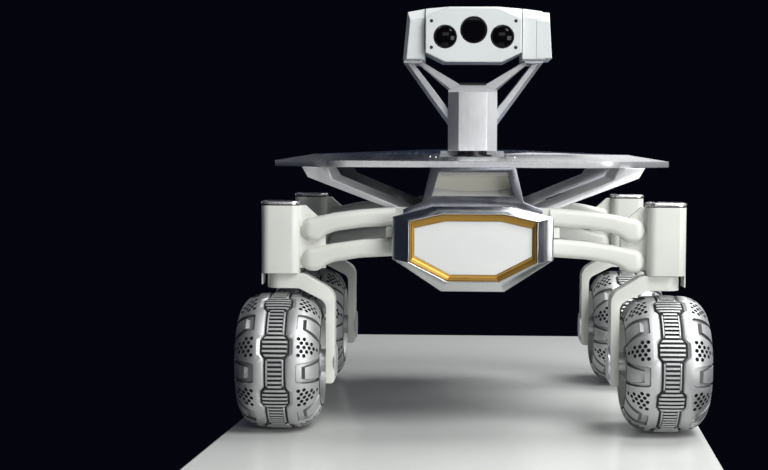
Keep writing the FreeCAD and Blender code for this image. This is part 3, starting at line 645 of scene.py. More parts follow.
def skin_rows():
    """Rows of the wheel's skin from the mid-plane to the side: (x, depth, angle) per column.

    The first rows follow the tread's outline: x is its narrow half width plus a share of the pad's
    extra width. The rows after them lie at fixed x, and the depth there is that of the channel."""
    sizes = bpy.context.scene.rover_sizes
    groove, channel = sizes.groove_depth / MM, sizes.channel_depth / MM
    rows = []
    crown = local_angles(CROWN_KNOTS)
    pad = pad_share(crown)
    for half, extra, depth in ((0.0, 0.0, groove), (14.7, 5.4, groove)) + GROOVE_ROWS:
        rows.append((half + extra * pad, depth + 0.0 * pad, crown))
    first = shoulder_knots(SHOULDER_FROM)
    for x, share in ((25.6, 0.7), (SHOULDER_FROM, 1.0)):
        angles = local_angles((1.0 - share) * CROWN_KNOTS + share * first)
        rows.append((x + 0.0 * angles, SKIN_DROP + 0.0 * angles, angles))
    index = np.abs(COLUMNS)
    in_channel = index >= COLUMN_KNOTS[3]
    in_block = index >= COLUMN_KNOTS[5]
    for x in SHOULDER_ROWS:
        depth = np.where(in_channel & (x > CHANNEL_FROM), channel, 0.0)
        depth = np.where(in_block & (x > BLOCK_FROM), 0.0, depth)
        rows.append((x + 0.0 * depth, SKIN_DROP + depth, local_angles(shoulder_knots(x))))
    return rows


FIELD_ROWS = (6, 20)                 # rows of the skin between which the hole fields lie
FIELD_COLUMNS = 3                    # columns to either side of a pad's middle that they take
STEEP = 2.0                          # a face that drops by more than this is a channel's wall


def wheel_skin():
    """The skin of one side of the wheel (+X), from the tread out, less its hole fields."""
    turns = sector_turns()
    points, depths = [], []
    for x, depth, angle in skin_rows():
        r, nx, nr = shoulder(x)
        depths.append(all_round(depth))
        points.append(on_wheel(all_round(x - nx * depth), all_round(r - nr * depth),
                               all_round(angle) + turns))
    rows = len(points)
    count = len(turns)
    faces = grid_faces(rows, count, True)
    row = np.repeat(np.arange(rows - 1), count)
    column = np.tile(np.arange(count), rows - 1) % len(COLUMNS) + COLUMNS[0]
    field = ((row >= FIELD_ROWS[0]) & (row < FIELD_ROWS[1])
             & (column >= -FIELD_COLUMNS) & (column < FIELD_COLUMNS))
    skin = np.array(points).reshape(-1, 3)
    steep = (np.ptp(np.array(depths).ravel()[faces], axis=1) > STEEP) & (row >= FIELD_ROWS[0])
    bare = ~field & (row > 0)
    # Painted shade: the groove's floor row gets a near-black finish and the steep channel walls a
    # dark one, standing in for the shadow in them.
    return [Part(skin, faces[row < 1], "painted_pit_shade"), Part(skin, faces[bare & ~steep], "milled_aluminium"),
            Part(skin, faces[bare & steep], "channel_wall_shade")]


SKIN_X = np.linspace(0.0, WHEEL_HALF, 400)
SKIN_STEPS = np.hypot(np.diff(SKIN_X), np.diff(shoulder(SKIN_X)[0]))
SKIN_S = np.concatenate([[0.0], np.cumsum(SKIN_STEPS)])      # arc length over the shoulder at x
HOLE_STEP = 8.25                     # along the shoulder, from hole to hole in a row
HOLE_ROW = 5.75                      # round the wheel, from row to row
HOLE_R = 2.95
HOLE_FROM = 32.1                     # x of a field's first hole
HOLE_FOOT = 0.86                     # a hole's foot as a share of its mouth
# A field's rows: place round the wheel, shift along the shoulder, holes in the row.
HOLE_ROWS = ((-2, 0.0, 2), (-1, 0.5, 3), (0, 0.0, 5), (1, 0.5, 3), (2, 0.0, 2))


def hole_field():
    """One field of six-sided holes: the skin round them is a constrained triangulation in the
    plane of arc length and width, taken back onto the shoulder, and each hole is a short well."""
    keep = np.abs(COLUMNS) <= FIELD_COLUMNS
    edge = np.array([np.stack([x[keep], angle[keep]], axis=1)
                     for x, _, angle in skin_rows()[FIELD_ROWS[0]:FIELD_ROWS[1] + 1]])
    around = np.concatenate([edge[:-1, 0], edge[-1, :-1], edge[:0:-1, -1], edge[0, :0:-1]])
    outline = np.stack([np.interp(around[:, 0], SKIN_X, SKIN_S),
                        np.radians(around[:, 1]) * shoulder(around[:, 0])[0]], axis=1)
    start = np.interp(HOLE_FROM, SKIN_X, SKIN_S)
    corner = np.radians(30.0 + 60.0 * np.arange(6))
    centres = np.array([(start + (shift + k) * HOLE_STEP, line * HOLE_ROW)
                        for line, shift, count in HOLE_ROWS for k in range(count)])
    hexes = centres[:, None, :] + HOLE_R * np.stack([np.cos(corner), np.sin(corner)], axis=1)
    plane, skin = cut_face(outline, hexes)

    def lifted(spots, sink):
        x = np.interp(spots[:, 0], SKIN_S, SKIN_X)
        radius, nx, nr = shoulder(x)
        return on_wheel(x - nx * (SKIN_DROP + sink), radius - nr * (SKIN_DROP + sink),
                        np.degrees(spots[:, 1] / radius))

    hole = bpy.context.scene.rover_sizes.hole_depth / MM
    wells, wall, floor = [], [], []
    for k, ring in enumerate(hexes):
        foot = centres[k] + HOLE_FOOT * (ring - centres[k])
        wells += [lifted(ring, 0.0), lifted(foot, hole)]
        base = 12 * k
        wall += [[base + c, base + (c + 1) % 6, base + 6 + (c + 1) % 6, base + 6 + c]
                 for c in range(6)]
        floor.append([base + 6 + c for c in range(6)])
    # The wells' walls and floors are painted near-black, as the shade inside the holes.
    return [Part(lifted(plane, 0.0), skin, "milled_aluminium"),
            Part(np.concatenate(wells), wall + floor, "painted_pit_shade")]


def spun(part, degrees):
    """A part turned round the wheel's axis, upwards at the front."""
    turn = math.radians(degrees)
    c, s = math.cos(turn), math.sin(turn)
    spin = np.array([[1, 0, 0], [0, c, -s], [0, s, c]])
    return part._replace(points=part.points @ spin)


DISH_FLOOR = 40.5
SPOKE_HALF = 4.2
SPOKE_FLARE = 1.3                    # a spoke's foot is this much wider to either side
POCKET_SINK = 3.5                    # depth of the pockets between the spokes
# The dish as rings of (x, radius): its lip, and its hub on the outer and on the inner side.
DISH_LIP = ((58.5, 61.4), (58.5, 59.8), (57.9, 59.1))
HUB_STEP = ((42.0, 24.4), (53.6, 24.0), (54.5, 23.0))
OUTER_HUB = ((54.5, 12.5), (55.4, 12.0), (55.9, 11.2), (56.3, 8.0), (56.5, 0.01))
INNER_HUB = ((54.5, 17.4), (54.0, 16.7), (46.0, 16.5))


def wheel_dish(outer):
    """Side of the wheel from its lip to its boss: a dished floor with eight spokes between
    sunk pockets. The rows are rings; the pocket's edges follow lines a spoke's width apart."""
    def spoke_knots(radius):
        foot, top = degrees_at(np.array([SPOKE_HALF + SPOKE_FLARE, SPOKE_HALF]), radius)
        inner = HALF_SECTOR - foot
        return np.array([0.0, 0.3 * inner, 0.5 * inner, 0.7 * inner, inner, HALF_SECTOR - top,
                         HALF_SECTOR])

    lip = shoulder_knots(SHOULDER_ROWS[-1])
    rows = [(x, radius, lip, 0.0) for x, radius in DISH_LIP]
    rows.append((42.0, 56.2, spoke_knots(56.2), 0.0))
    for radius, sunk in ((55.0, 0.0), (53.4, 0.0), (52.0, 1.0), (42.0, 1.0), (31.6, 1.0),
                         (30.4, 0.0), (26.0, 0.0)):
        rows.append((DISH_FLOOR, radius, spoke_knots(radius), sunk))
    hub = HUB_STEP + (OUTER_HUB if outer else INNER_HUB)
    rows += [(x, radius, spoke_knots(24.0), 0.0) for x, radius in hub]
    turns = sector_turns()
    pocket = np.abs(COLUMNS) <= COLUMN_KNOTS[4]
    points = []
    for x, radius, knots, sunk in rows:
        depth = np.where(pocket, POCKET_SINK * sunk, 0.0)
        points.append(on_wheel(all_round(x - depth), radius,
                               all_round(local_angles(knots)) + turns))
    return surface(points, True, "milled_aluminium")


STRIP_HALF, STRIP_EXTRA = 12.3, 5.2  # half width of the strip under the ribs, and more at a pad
STRIP_FOOT = 6.0
RIB_HALF, RIB_EXTRA = 9.7, 7.5       # the same for the ribs
RIB_CHAMFER = 0.55
RAIL_SINK = 0.4                      # the rails lie this far below the tread
# A rail across its width: (x, depth), with None at its feet in the gap.
RAIL_SECTION = ((9.5, None), (9.9, 0.9), (10.3, 0.6), (11.4, 0.6), (11.9, 1.0), (12.2, None))


def tread():
    """The tread band round the wheel: a strip with the ribs across it and, between the pads, a
    low rail along each of its edges. A rib's points are (side to side) by (its own section)."""
    gap = bpy.context.scene.rover_sizes.rib_depth / MM
    crown = all_round(local_angles(CROWN_KNOTS))
    half = STRIP_HALF + STRIP_EXTRA * pad_share(crown)
    strip = []
    for share, inset, sink in ((-1, 0.0, STRIP_FOOT), (-1, 0.0, gap + 0.5), (-1, 0.5, gap),
                               (0, 0.0, gap), (1, 0.5, gap), (1, 0.0, gap + 0.5),
                               (1, 0.0, STRIP_FOOT)):
        x = share * (half - inset)
        strip.append(on_wheel(x, shoulder(np.abs(x))[0] - sink, crown + sector_turns()))
    # The strip under the ribs is painted near-black, as the shade in the gaps between them.
    parts = [surface(strip, True, "painted_pit_shade")]

    section = np.array([(-1.75, gap), (-1.55, 0.4), (-1.3, 0.0), (1.3, 0.0), (1.55, 0.4),
                        (1.75, gap)])
    offset = np.degrees(section[:, 0] / WHEEL_R)
    centres = np.arange(RIBS)[:, None] * RIB_STEP
    local = (centres + HALF_SECTOR) % (2 * HALF_SECTOR) - HALF_SECTOR + offset
    reach = RIB_HALF + RIB_EXTRA * pad_share(local)
    spots = []
    for share, inset in ((-1, 0.0), (-1, RIB_CHAMFER), (-0.5, 0.0), (0, 0.0), (0.5, 0.0),
                         (1, RIB_CHAMFER), (1, 0.0)):
        x = share * reach - np.sign(share) * inset
        sink = gap if abs(share) == 1 and inset == 0.0 else section[:, 1]
        spots.append(on_wheel(x, shoulder(np.abs(x))[0] - sink, centres + offset + PAD_TURN))
    ribs = np.array(spots).transpose(1, 0, 2, 3)
    each = ribs.shape[1] * ribs.shape[2]
    faces = grid_faces(ribs.shape[1], ribs.shape[2], False)[None] \
        + (np.arange(RIBS) * each)[:, None, None]
    faces = faces.reshape(-1, 4)
    # The rib flanks facing the gaps are painted near-black, as the shade in those gaps.
    flank = np.isin(np.arange(len(faces)) % (len(section) - 1), (0, len(section) - 2))
    parts.append(Part(ribs.reshape(-1, 3), faces[~flank], "milled_aluminium"))
    parts.append(Part(ribs.reshape(-1, 3), faces[flank], "painted_pit_shade"))

    run = np.linspace(PAD_END + 0.3, 2 * HALF_SECTOR - PAD_END - 0.3, 13)
    tip = (run == run[0]) | (run == run[-1])
    top = WHEEL_R - RAIL_SINK
    rail = [on_wheel(x, top - np.where(tip, gap, gap if sink is None else sink), run)
            for x, sink in RAIL_SECTION]
    one_rail = surface(rail, False, "milled_aluminium")
    for sector in range(SECTORS):
        turned_rail = spun(one_rail, sector * 2 * HALF_SECTOR + PAD_TURN)
        parts += [turned_rail, mirrored(turned_rail)]
    return parts


HUB_BOLTS, HUB_BOLT_X, HUB_BOLT_RING, HUB_BOLT_R = 6, 54.3, 18.0, 2.6


def build_wheels(scene):
    """Build the four wheels: tread, shoulders with hole fields and channels, and dished sides"""
    side_parts = wheel_skin()
    field = hole_field()
    for sector in range(SECTORS):
        side_parts += [spun(part, sector * 2 * HALF_SECTOR + PAD_TURN) for part in field]
    ribs = tread()
    bolts = (np.arange(HUB_BOLTS) + 0.5) * 2 * math.pi / HUB_BOLTS
    spots = [(HUB_BOLT_X, HUB_BOLT_RING * math.cos(a), HUB_BOLT_RING * math.sin(a))
             for a in bolts]
    outer = side_parts + [wheel_dish(True), screws(spots, (1, 0, 0), HUB_BOLT_R)]
    inner = [mirrored(part) for part in side_parts + [wheel_dish(False)]]
    for corner, side, end in CORNERS:
        node = corner + "_wheel"
        centre = middle_of(node)
        for ending, parts, stands_for in (("_shell", outer + inner, (node,)),
                                          ("_tread", ribs, ())):
            if side < 0:
                parts = [mirrored(part) for part in parts]
            piece(node + ending, [moved(part, centre) for part in parts], node, stands_for,
                  crease=30.0)


# ---- nose ---------------------------------------------------------------------------------
Octagon = namedtuple("Octagon", "side side_top side_bottom top_half top bottom_half bottom")
BEZEL = Octagon(110.0, 299.0, 241.0, 53.0, 313.5, 43.0, 197.0)
BEZEL_LIP = Octagon(88.0, 294.0, 237.0, 42.0, 304.5, 35.5, 210.5)
TRIM = Octagon(86.0, 292.5, 238.0, 41.0, 302.3, 35.0, 212.4)
PLATE = Octagon(80.5, 284.0, 245.7, 37.5, 293.5, 31.5, 219.9)
PLATE_MIDDLE = Octagon(30.0, 259.0, 257.0, 14.0, 260.0, 14.0, 256.0)
FACET_FROM, FACET_TO = 281.2, 294.6  # how far forward the bezel's facets start and end
FACET_HOLLOW = 0.8
PANEL_RIM, PANEL_CROWN = 286.05, 1.2


def between(first, second, share):
    """An eight-sided outline part of the way from one to another."""
    return Octagon(*(a + (b - a) * share for a, b in zip(first, second)))


def octagon_loop(size):
    """The outline's corners, counter-clockwise seen from the front."""
    right = [(size.bottom_half, size.bottom), (size.side, size.side_bottom),
             (size.side, size.side_top), (size.top_half, size.top)]
    left = [(-x, z) for x, z in reversed(right)]
    return np.array(left[3:] + right + left[:3])


def octagon_stack(steps, finish, closed=True):
    """Outlines joined front to back: each step is (outline, inset, distance forward)."""
    rings = []
    for size, inset, forward in steps[::-1]:
        loop = inset_loop(octagon_loop(size), inset)
        rings.append(at_y(loop, -forward))
    return stacked(rings, finish, closed)


def build_nose(scene):
    """Build both noses: faceted bezel, gold ring and the bare white panel"""
    facet = [(between(BEZEL, BEZEL_LIP, f), 0.0,
              FACET_FROM + (FACET_TO - FACET_FROM) * f - FACET_HOLLOW * math.sin(math.pi * f))
             for f in (0.12, 0.3, 0.5, 0.7, 0.88)]
    bezel = [(BEZEL, 8.0, 265.2), (BEZEL, 0.0, 265.2), (BEZEL, 0.0, 278.6), (BEZEL, 0.5, 279.6),
             (BEZEL, 1.9, 281.0), (BEZEL, 2.3, 281.1)] + facet
    bezel += [(BEZEL_LIP, 0.0, 294.9), (BEZEL_LIP, 0.35, 295.0), (BEZEL_LIP, 0.7, 294.9),
              (BEZEL_LIP, 1.3, 294.0), (TRIM, 0.15, 290.0), (TRIM, 0.15, 266.0)]
    ring = [(TRIM, 0.2, 280.0), (TRIM, 0.2, 290.6), (TRIM, 0.7, 291.0), (TRIM, 1.5, 291.0),
            (TRIM, 2.0, 290.5), (between(TRIM, PLATE, 0.45), 0.0, 288.2),
            (between(TRIM, PLATE, 0.72), 0.0, 286.6), (PLATE, -0.5, 286.2), (PLATE, 0.1, 285.6),
            (PLATE, 0.2, 280.0)]
    panel = [(PLATE, 0.35, 280.0), (PLATE, 0.35, 285.4), (PLATE, 0.8, 286.0)]
    panel += [(between(PLATE, PLATE_MIDDLE, t), 0.0,
               PANEL_RIM + PANEL_CROWN * math.sin(t * math.pi / 2))
              for t in (0.05, 0.2, 0.4, 0.6, 0.8, 1.0)]
    layers = (("_bezel", octagon_stack(bezel, "polished_aluminium", False), 14.0, False, 0.35),
              ("_trim", octagon_stack(ring, "gold_anodised", False), 14.0, False, 0.25),
              ("_panel", octagon_stack(panel, "white_paint"), 24.0, True, 0.0))
    for end, sign in ENDS:
        for ending, part, crease, outward, bevel in layers:
            node = end + ending
            piece(node + "_skin", [mirrored(part, 1) if sign > 0 else part], node, (node,),
                  crease, outward, bevel)


# ---- chassis ------------------------------------------------------------------------------
# The recess in the tower: its half width at two heights, its floor and its back wall.
RECESS_HEIGHTS = (327.0, 359.5)
SCOOP_HALF, WALL_HALF = (56.3, 47.3), (56.2, 47.2)
SCOOP_FRONT, SCOOP_REACH, SCOOP_LEVEL = -264.4, 30.0, 327.2
SCOOP_RISE, SCOOP_SIDE_RISE = 6.5, 4.0
WALL_Y, WALL_LEAN, WALL_FOOT, WALL_RISE = -234.8, 5.0, 331.0, 28.2
LIP_Y, LIP_HALF, LIP_STEP = -256.0, 6.0, 5.0


def build_chassis(scene):
    """Build the hull, belly plate, arm brackets and the tower with its lined recesses"""
    edge = scene.rover_sizes.edge / MM
    for node in ("hull", "belly_plate", "arm_brackets"):
        softened(node, edge)
    softened("tower", 0.6 * edge, finish="tower_metal")
    across, along = np.meshgrid(np.linspace(-1.0, 1.0, 25), np.linspace(0.0, 1.0, 13),
                                indexing="ij")
    rise = SCOOP_LEVEL + (SCOOP_RISE + SCOOP_SIDE_RISE * across ** 2) * along ** 1.7
    scoop = np.stack([across * np.interp(rise, RECESS_HEIGHTS, SCOOP_HALF),
                      SCOOP_FRONT + SCOOP_REACH * along, rise], axis=-1)
    across, up = np.meshgrid(np.linspace(-1.0, 1.0, 9), np.linspace(0.0, 1.0, 7), indexing="ij")
    level = WALL_FOOT + WALL_RISE * up
    wall = np.stack([across * np.interp(level, RECESS_HEIGHTS, WALL_HALF),
                     WALL_Y - WALL_LEAN * up ** 3, level], axis=-1)
    liner = [surface(scoop, False, "satin_aluminium"), surface(wall, False, "recess_wall")]
    for step, z in enumerate((357.4, 355.2)):
        lip = ((-47.8 - step, z), (47.8 + step, z), (47.6 + step, z + 1.0),
               (-47.6 - step, z + 1.0))
        liner.append(slab(lip, LIP_Y + LIP_STEP * step, LIP_HALF, (0.2,) * 4, 0.3,
                          "satin_aluminium"))
    piece("front_tower_liner", liner, "tower", (), crease=40.0)
    piece("rear_tower_liner", [mirrored(part, 1) for part in liner], "tower", (), crease=40.0)


# ---- deck ---------------------------------------------------------------------------------
DECK_CORNERS = ((197.0, -250.0), (300.0, -26.0), (300.0, 26.0), (197.0, 250.0),
                (-197.0, 250.0), (-300.0, 26.0), (-300.0, -26.0), (-197.0, -250.0))
DECK_RADII = (34.0, 16.0, 16.0, 34.0, 34.0, 16.0, 16.0, 34.0)
POCKET_HALF, POCKET_FRONT, POCKET_BACK, POCKET_FLOOR = 45.8, -251.0, -104.2, 15.0
BORDER_SHARE, CREST_SHARE = 0.81, 0.22
CELL_EDGE = BORDER_SHARE - 0.008     # the cells stand a little above their border
# Height over the deck's underside by the share of the way out to its outline.
DECK_PROFILE = ((CREST_SHARE, CELL_EDGE, BORDER_SHARE, 0.99, 1.0), (26.0, 18.7, 18.0, 9.35, 9.0))
CELLS_FROM = 18.71
RIM_STEPS = ((1.0, 0.0), (0.3, 0.3), (0.0, 1.0), (0.0, 8.2), (0.0, 9.0))    # (inset, rise)
DECK_SCREWS = ((-52.0, -222.0), (-60.0, -219.0), (58.0, -224.0), (62.0, 222.0), (-62.0, 222.0))
DECK_SCREW_R = 1.5


def refined(loop, step):
    """A closed loop with extra points, evenly spaced on every edge longer than the step."""
    points = []
    for start, end in zip(loop, np.roll(loop, -1, axis=0)):
        count = max(1, int(math.hypot(*(end - start)) / step))
        points.append(start + (end - start) * np.arange(count)[:, None] / count)
    return np.concatenate(points)


def deck_rise(spots, loop):
    """Height of the deck above its underside. A point's share is its distance from the middle
    over the outline's distance at the same bearing; the height is a straight line of the share
    over the rim, the border, the cells and the crest."""
    bearing = np.arctan2(loop[:, 1], loop[:, 0])
    order = np.argsort(bearing)
    reach = np.hypot(loop[:, 0], loop[:, 1])
    rim = np.interp(np.arctan2(spots[:, 1], spots[:, 0]), bearing[order], reach[order],
                    period=2 * math.pi)
    share = np.hypot(spots[:, 0], spots[:, 1]) / rim
    return np.interp(share, *DECK_PROFILE)


def deck_top(loop, base):
    """The deck's upper side as (frame part, cell part): a constrained triangulation of its
    outline, the loops round its cells and crest, and the pocket round the mast."""
    rows = [loop * share for share in (1.0, 0.99, BORDER_SHARE, CELL_EDGE, 0.6, 0.4, CREST_SHARE)]
    pockets = []
    for wide in (0.0, 0.5):
        side, back = POCKET_HALF + wide, POCKET_BACK + wide
        pockets.append(np.array([(-side, POCKET_FRONT), (side, POCKET_FRONT), (side, back),
                                 (-side, back)]))
    flat = np.concatenate(rows + pockets)
    edges, start = [], 0
    for row in rows + pockets:
        edges += [(start + k, start + (k + 1) % len(row)) for k in range(len(row))]
        start += len(row)
    made = delaunay_2d_cdt([Vector(spot) for spot in flat], edges, [list(range(len(loop)))], 1,
                           1e-5, True)
    spots = np.array([tuple(spot) for spot in made[0]])
    rise = deck_rise(spots, loop)
    inside = (np.abs(spots[:, 0]) < POCKET_HALF + 0.1) & (spots[:, 1] < POCKET_BACK + 0.1)
    rise = np.where(inside, np.minimum(rise, POCKET_FLOOR), rise)
    points = at_z(spots, base + rise)
    border, cells = [], []
    for face in made[2]:
        middle = spots[face].mean(axis=0)[None]
        in_pocket = abs(middle[0, 0]) < POCKET_HALF + 0.5 and middle[0, 1] < POCKET_BACK + 0.5
        raised = deck_rise(middle, loop)[0] > CELLS_FROM
        (cells if raised and not in_pocket else border).append(face)
    return [Part(points, border, "deck_metal"), Part(points, cells, "solar_cells")]


def build_deck(scene):
    """Build the solar deck: frame, cells, struts and screws"""
    edge = scene.rover_sizes.edge / MM
    base = low("solar_deck_frame")[2]
    loop = refined(rounded_loop(DECK_CORNERS, DECK_RADII), 14.0)
    rim = [at_z(loop * 0.7, base)]
    rim += [at_z(inset_loop(loop, inset), base + rise) for inset, rise in RIM_STEPS]
    sides = stacked(rim, "brushed_aluminium", False)
    under = Part(rim[0], [list(range(len(loop)))], "satin_aluminium")
    top = deck_top(loop, base)
    spots = [(x, y, base + deck_rise(np.array([[x, y]]), loop)[0]) for x, y in DECK_SCREWS]
    studs = screws(spots, (0, 0, 1), DECK_SCREW_R)
    piece("solar_deck_shell", [sides, under] + top + [studs], "solar_deck_frame",
          ("solar_deck_frame", "solar_cells"), crease=24.0, outward=True)
    # The rear struts get a darker metal as painted shade under the deck.
    softened("deck_struts", edge, rear_shade_finish="rear_strut_shade_metal")


# ---- suspension corners -------------------------------------------------------------------
ARM_EYE = 223.0                      # across the rover, from its middle to an arm's eye
ARM_ROOT = 106.5
ARM_STATIONS = np.array([106.0, 120.0, 156.6, 195.2, 223.0])
ARM_LEVELS = {"upper": (297.6, 297.2, 294.5, 289.0, 279.5),
              "lower": (255.6, 255.2, 252.5, 246.5, 237.4)}
ARM_RISE = np.array([12.5, 12.5, 12.5, 12.9, 16.0])
ARM_FALL_STATIONS = np.array([106.0, 156.6, 190.0, 203.0, 214.5, 223.0])
ARM_FALL = np.array([12.5, 12.5, 12.8, 13.6, 16.3, 16.0])
ARM_DEPTH, TIP_LOSS = 17.0, 9.0      # half the depth of an arm, and how much the tip loses
EYE_R = 16.0
BEND_REACH = 30                      # samples to either side that a bend is averaged over


def arm_skin(level, rounding):
    """One arm on the +X side at y = 0. Its upper and lower lines are straight runs averaged over
    a short window, its end is a circle round the eye, and each section is a rectangle whose
    corners are superellipse quarters, shallower near the tip so that the end is a ball."""
    x = np.concatenate([np.linspace(ARM_ROOT, ARM_EYE, 30),
                        ARM_EYE + EYE_R * np.sin(np.linspace(0.0, math.pi / 2, 12)[1:])])
    fine = np.linspace(80.0, ARM_EYE, 800)
    middle = np.array(ARM_LEVELS[level])
    window = np.hanning(2 * BEND_REACH + 1)
    window /= window.sum()

    def smooth(stations, levels):
        line = np.interp(fine, stations, levels)
        onward = line[-1] + (line[-1] - line[-2]) * np.arange(1, BEND_REACH + 1)
        padded = np.concatenate([np.full(BEND_REACH, line[0]), line, onward])
        return np.convolve(padded, window, "valid")

    eye = middle[-1]
    top = smooth(ARM_STATIONS, middle + ARM_RISE)
    bend = np.interp(ARM_FALL_STATIONS, ARM_STATIONS, middle)
    sag = np.array([0.0, 0.0, 0.0, 0.4, bend[4] - eye - 0.6, 0.0])
    bottom = smooth(ARM_FALL_STATIONS, bend - ARM_FALL - sag)
    over = np.sqrt(np.maximum(EYE_R ** 2 - np.maximum(x - ARM_EYE, 0.0) ** 2, 0.0))
    high_line = np.where(x > ARM_EYE, eye + over, np.interp(x, fine, top))
    low_line = np.where(x > ARM_EYE, eye - over, np.interp(x, fine, bottom))
    high_line[-1] = low_line[-1] = eye
    half = (high_line - low_line) / 2
    depth = ARM_DEPTH - TIP_LOSS * (np.maximum(x - ARM_EYE, 0.0) / EYE_R) ** 2.5
    quarter = np.linspace(0.0, math.pi / 2, 6)
    rings = []
    for place, mid, tall, deep in zip(x, (high_line + low_line) / 2, half, depth):
        r_z, r_y = min(rounding, tall), min(rounding, deep)
        y, z = deep - r_y + r_y * np.cos(quarter), tall - r_z + r_z * np.sin(quarter)
        y = np.concatenate([y, -y[::-1], -y, y[::-1]])
        z = np.concatenate([z, z[::-1], -z, -z[::-1]])
        rings.append(np.stack([np.full(len(y), place), y, mid + z], axis=1))
    return stacked(rings, "warm_white_paint")


CAP_CORNERS = ((27.0, 27.0), (-27.0, 27.0), (-27.0, -27.0), (27.0, -27.0))
CAP_RADIUS = 12.0


def cap_skin(centre, base):
    """Cap of a housing: a thin dark seam below a rounded bright rim and a glossy dark top."""
    square = rounded_loop(CAP_CORNERS, (CAP_RADIUS,) * 4, 8)

    def rings(steps):
        return [at_z(inset_loop(square, inset) + centre, base + rise) for inset, rise in steps]

    seam = stacked(rings([(0.9, 0.0), (0.9, 1.8)]), "black_gloss", False)
    turn = np.linspace(0.0, math.pi / 2, 6)
    rim = [(0.9, 1.8), (0.2, 1.9), (0.0, 2.3), (0.0, 3.2)]
    rim += [(3.0 - 3.0 * math.cos(t), 3.4 + 2.9 * math.sin(t)) for t in turn]
    rim += [(3.8, 6.3), (4.1, 6.1)]
    top = rings([(4.1, 6.1), (4.6, 6.2), (9.0, 6.4)])
    return [seam, stacked(rings(rim), "chrome", False), stacked(top, "black_gloss", False),
            Part(top[-1], [list(range(len(square)))], "black_gloss")]


def build_corners(scene):
    """Build the four corners: arms, steering housings, caps and forks"""
    hidden = ("arm_pins",)
    caps = []
    for corner, side, end in CORNERS:
        softened(corner + "_steering_housing", 1.2)
        softened(corner + "_fork", 2.2)
        axle = middle_of(corner + "_wheel")
        for level in ("upper", "lower"):
            node = corner + "_" + level + "_arm"
            skin = moved(arm_skin(level, scene.rover_sizes.arm_edge / MM),
                         (0.0, axle[1], 0.0))
            piece(node + "_skin", [skin if side > 0 else mirrored(skin)], node,
                  (node,) + hidden, crease=50.0, outward=True)
            hidden = ()
        caps += cap_skin(axle[:2], low("housing_caps")[2])
    piece("housing_caps_skin", caps, "housing_caps", ("housing_caps",), crease=24.0)


# ---- mast ---------------------------------------------------------------------------------
MAST_Y = -150.0
SADDLE = ((-34.9, 473.0), (34.9, 473.0), (34.9, 477.6), (17.0, 484.0), (-17.0, 484.0),
          (-34.9, 477.6))
# The yoke's bars on the +X side: outline, half width along Y, each edge's bevel, its depth.
YOKE_BARS = (
    (((17.0, 473.2), (35.0, 476.6), (76.8, 513.0), (79.6, 515.2), (79.6, 517.4), (72.6, 517.4),
      (17.0, 484.0)), 12.0, (0.0, 5.2, 0.0, 0.0, 0.0, 0.6, 0.0), 8.0),
    (((33.0, 423.3), (98.4, 513.6), (98.4, 517.4), (84.0, 517.4), (83.6, 513.6), (33.0, 447.6)),
     12.0, (4.6, 0.0, 0.0, 0.0, 1.0, 0.0), 8.0),
    (((72.6, 513.6), (98.4, 513.6), (98.4, 517.4), (72.6, 517.4)), 40.0, (0.6,) * 4, 0.6))
TEETH = np.arange(-19.5, 20.0, 1.5)
TOOTH_FLAT, TOOTH_TOP, TOOTH_FOOT = 0.75, 487.6, 486.6


def build_mast(scene):
    """Build the mast and the yoke, with the toothed strip on its saddle"""
    softened("mast", 0.4 * scene.rover_sizes.edge / MM)
    parts = [slab(SADDLE, MAST_Y, 12.6, (0.0, 0.0, 1.2, 1.0, 1.2, 0.0), 2.0, "satin_aluminium")]
    for outline, half, bevels, depth in YOKE_BARS:
        bar = slab(outline, MAST_Y, half, bevels, depth, "satin_aluminium")
        parts += [bar, mirrored(bar)]
    tops = np.where(np.arange(2 * len(TEETH)) % 4 < 2, TOOTH_TOP, TOOTH_FOOT)
    crest = np.stack([np.repeat(TEETH, 2), tops], axis=1)
    crest[1::2, 0] += TOOTH_FLAT
    strip = np.concatenate([[(-20.0, 483.0), (20.4, 483.0)], crest[::-1]])
    parts.append(slab(strip, MAST_Y, 9.0, np.zeros(len(strip)), 1.0, "dark_plastic"))
    piece("yoke_skin", parts, "yoke", ("yoke",), crease=20.0, outward=True, bevel=0.35)


# ---- camera head --------------------------------------------------------------------------
HEAD = Octagon(67.5, 575.0, 527.0, 34.0, 589.5, 39.5, 513.7)
HEAD_FRONT = -210.0
LENSES = ((-40.0, 549.0, 17.0), (0.0, 558.5, 19.5), (40.0, 549.0, 17.0))
RIGHT_CHEEK = ((68.7, 517.6), (99.4, 517.6), (93.2, 585.2), (68.7, 589.6))
LEFT_CHEEK = ((68.7, 517.6), (101.5, 517.6), (97.0, 586.4), (68.7, 590.2))
MOTOR_BOX = ((88.0, 519.6), (110.9, 519.6), (106.9, 584.4), (88.0, 585.8))
CHEEK_HALF = 50.0
HEAD_RIM = ((1.4, 0.0), (0.4, 0.5), (0.0, 1.6), (0.0, 4.1))       # (inset, how far back)
HEAD_SCREW = ((2.4, -0.2), (2.4, 0.25), (1.7, 0.4), (1.3, 0.1), (0.0, 0.05))
# Steps of a lens as (how much less than the hole's radius, how far forward).
LENS_RIM = ((0.0, 0.0), (0.35, -0.35), (0.6, -1.2), (0.6, -3.9))
LENS_BARREL = ((0.7, -3.9), (0.7, -1.6), (1.1, -1.2), (2.2, -1.2), (2.6, -1.6))
LENS_EDGE, LENS_CROWN = 3.2, -0.6
WIDE_LENS, DEEP_BALL, FLAT_BALL = 18.0, 36.0, 400.0               # a wide lens is nearly flat


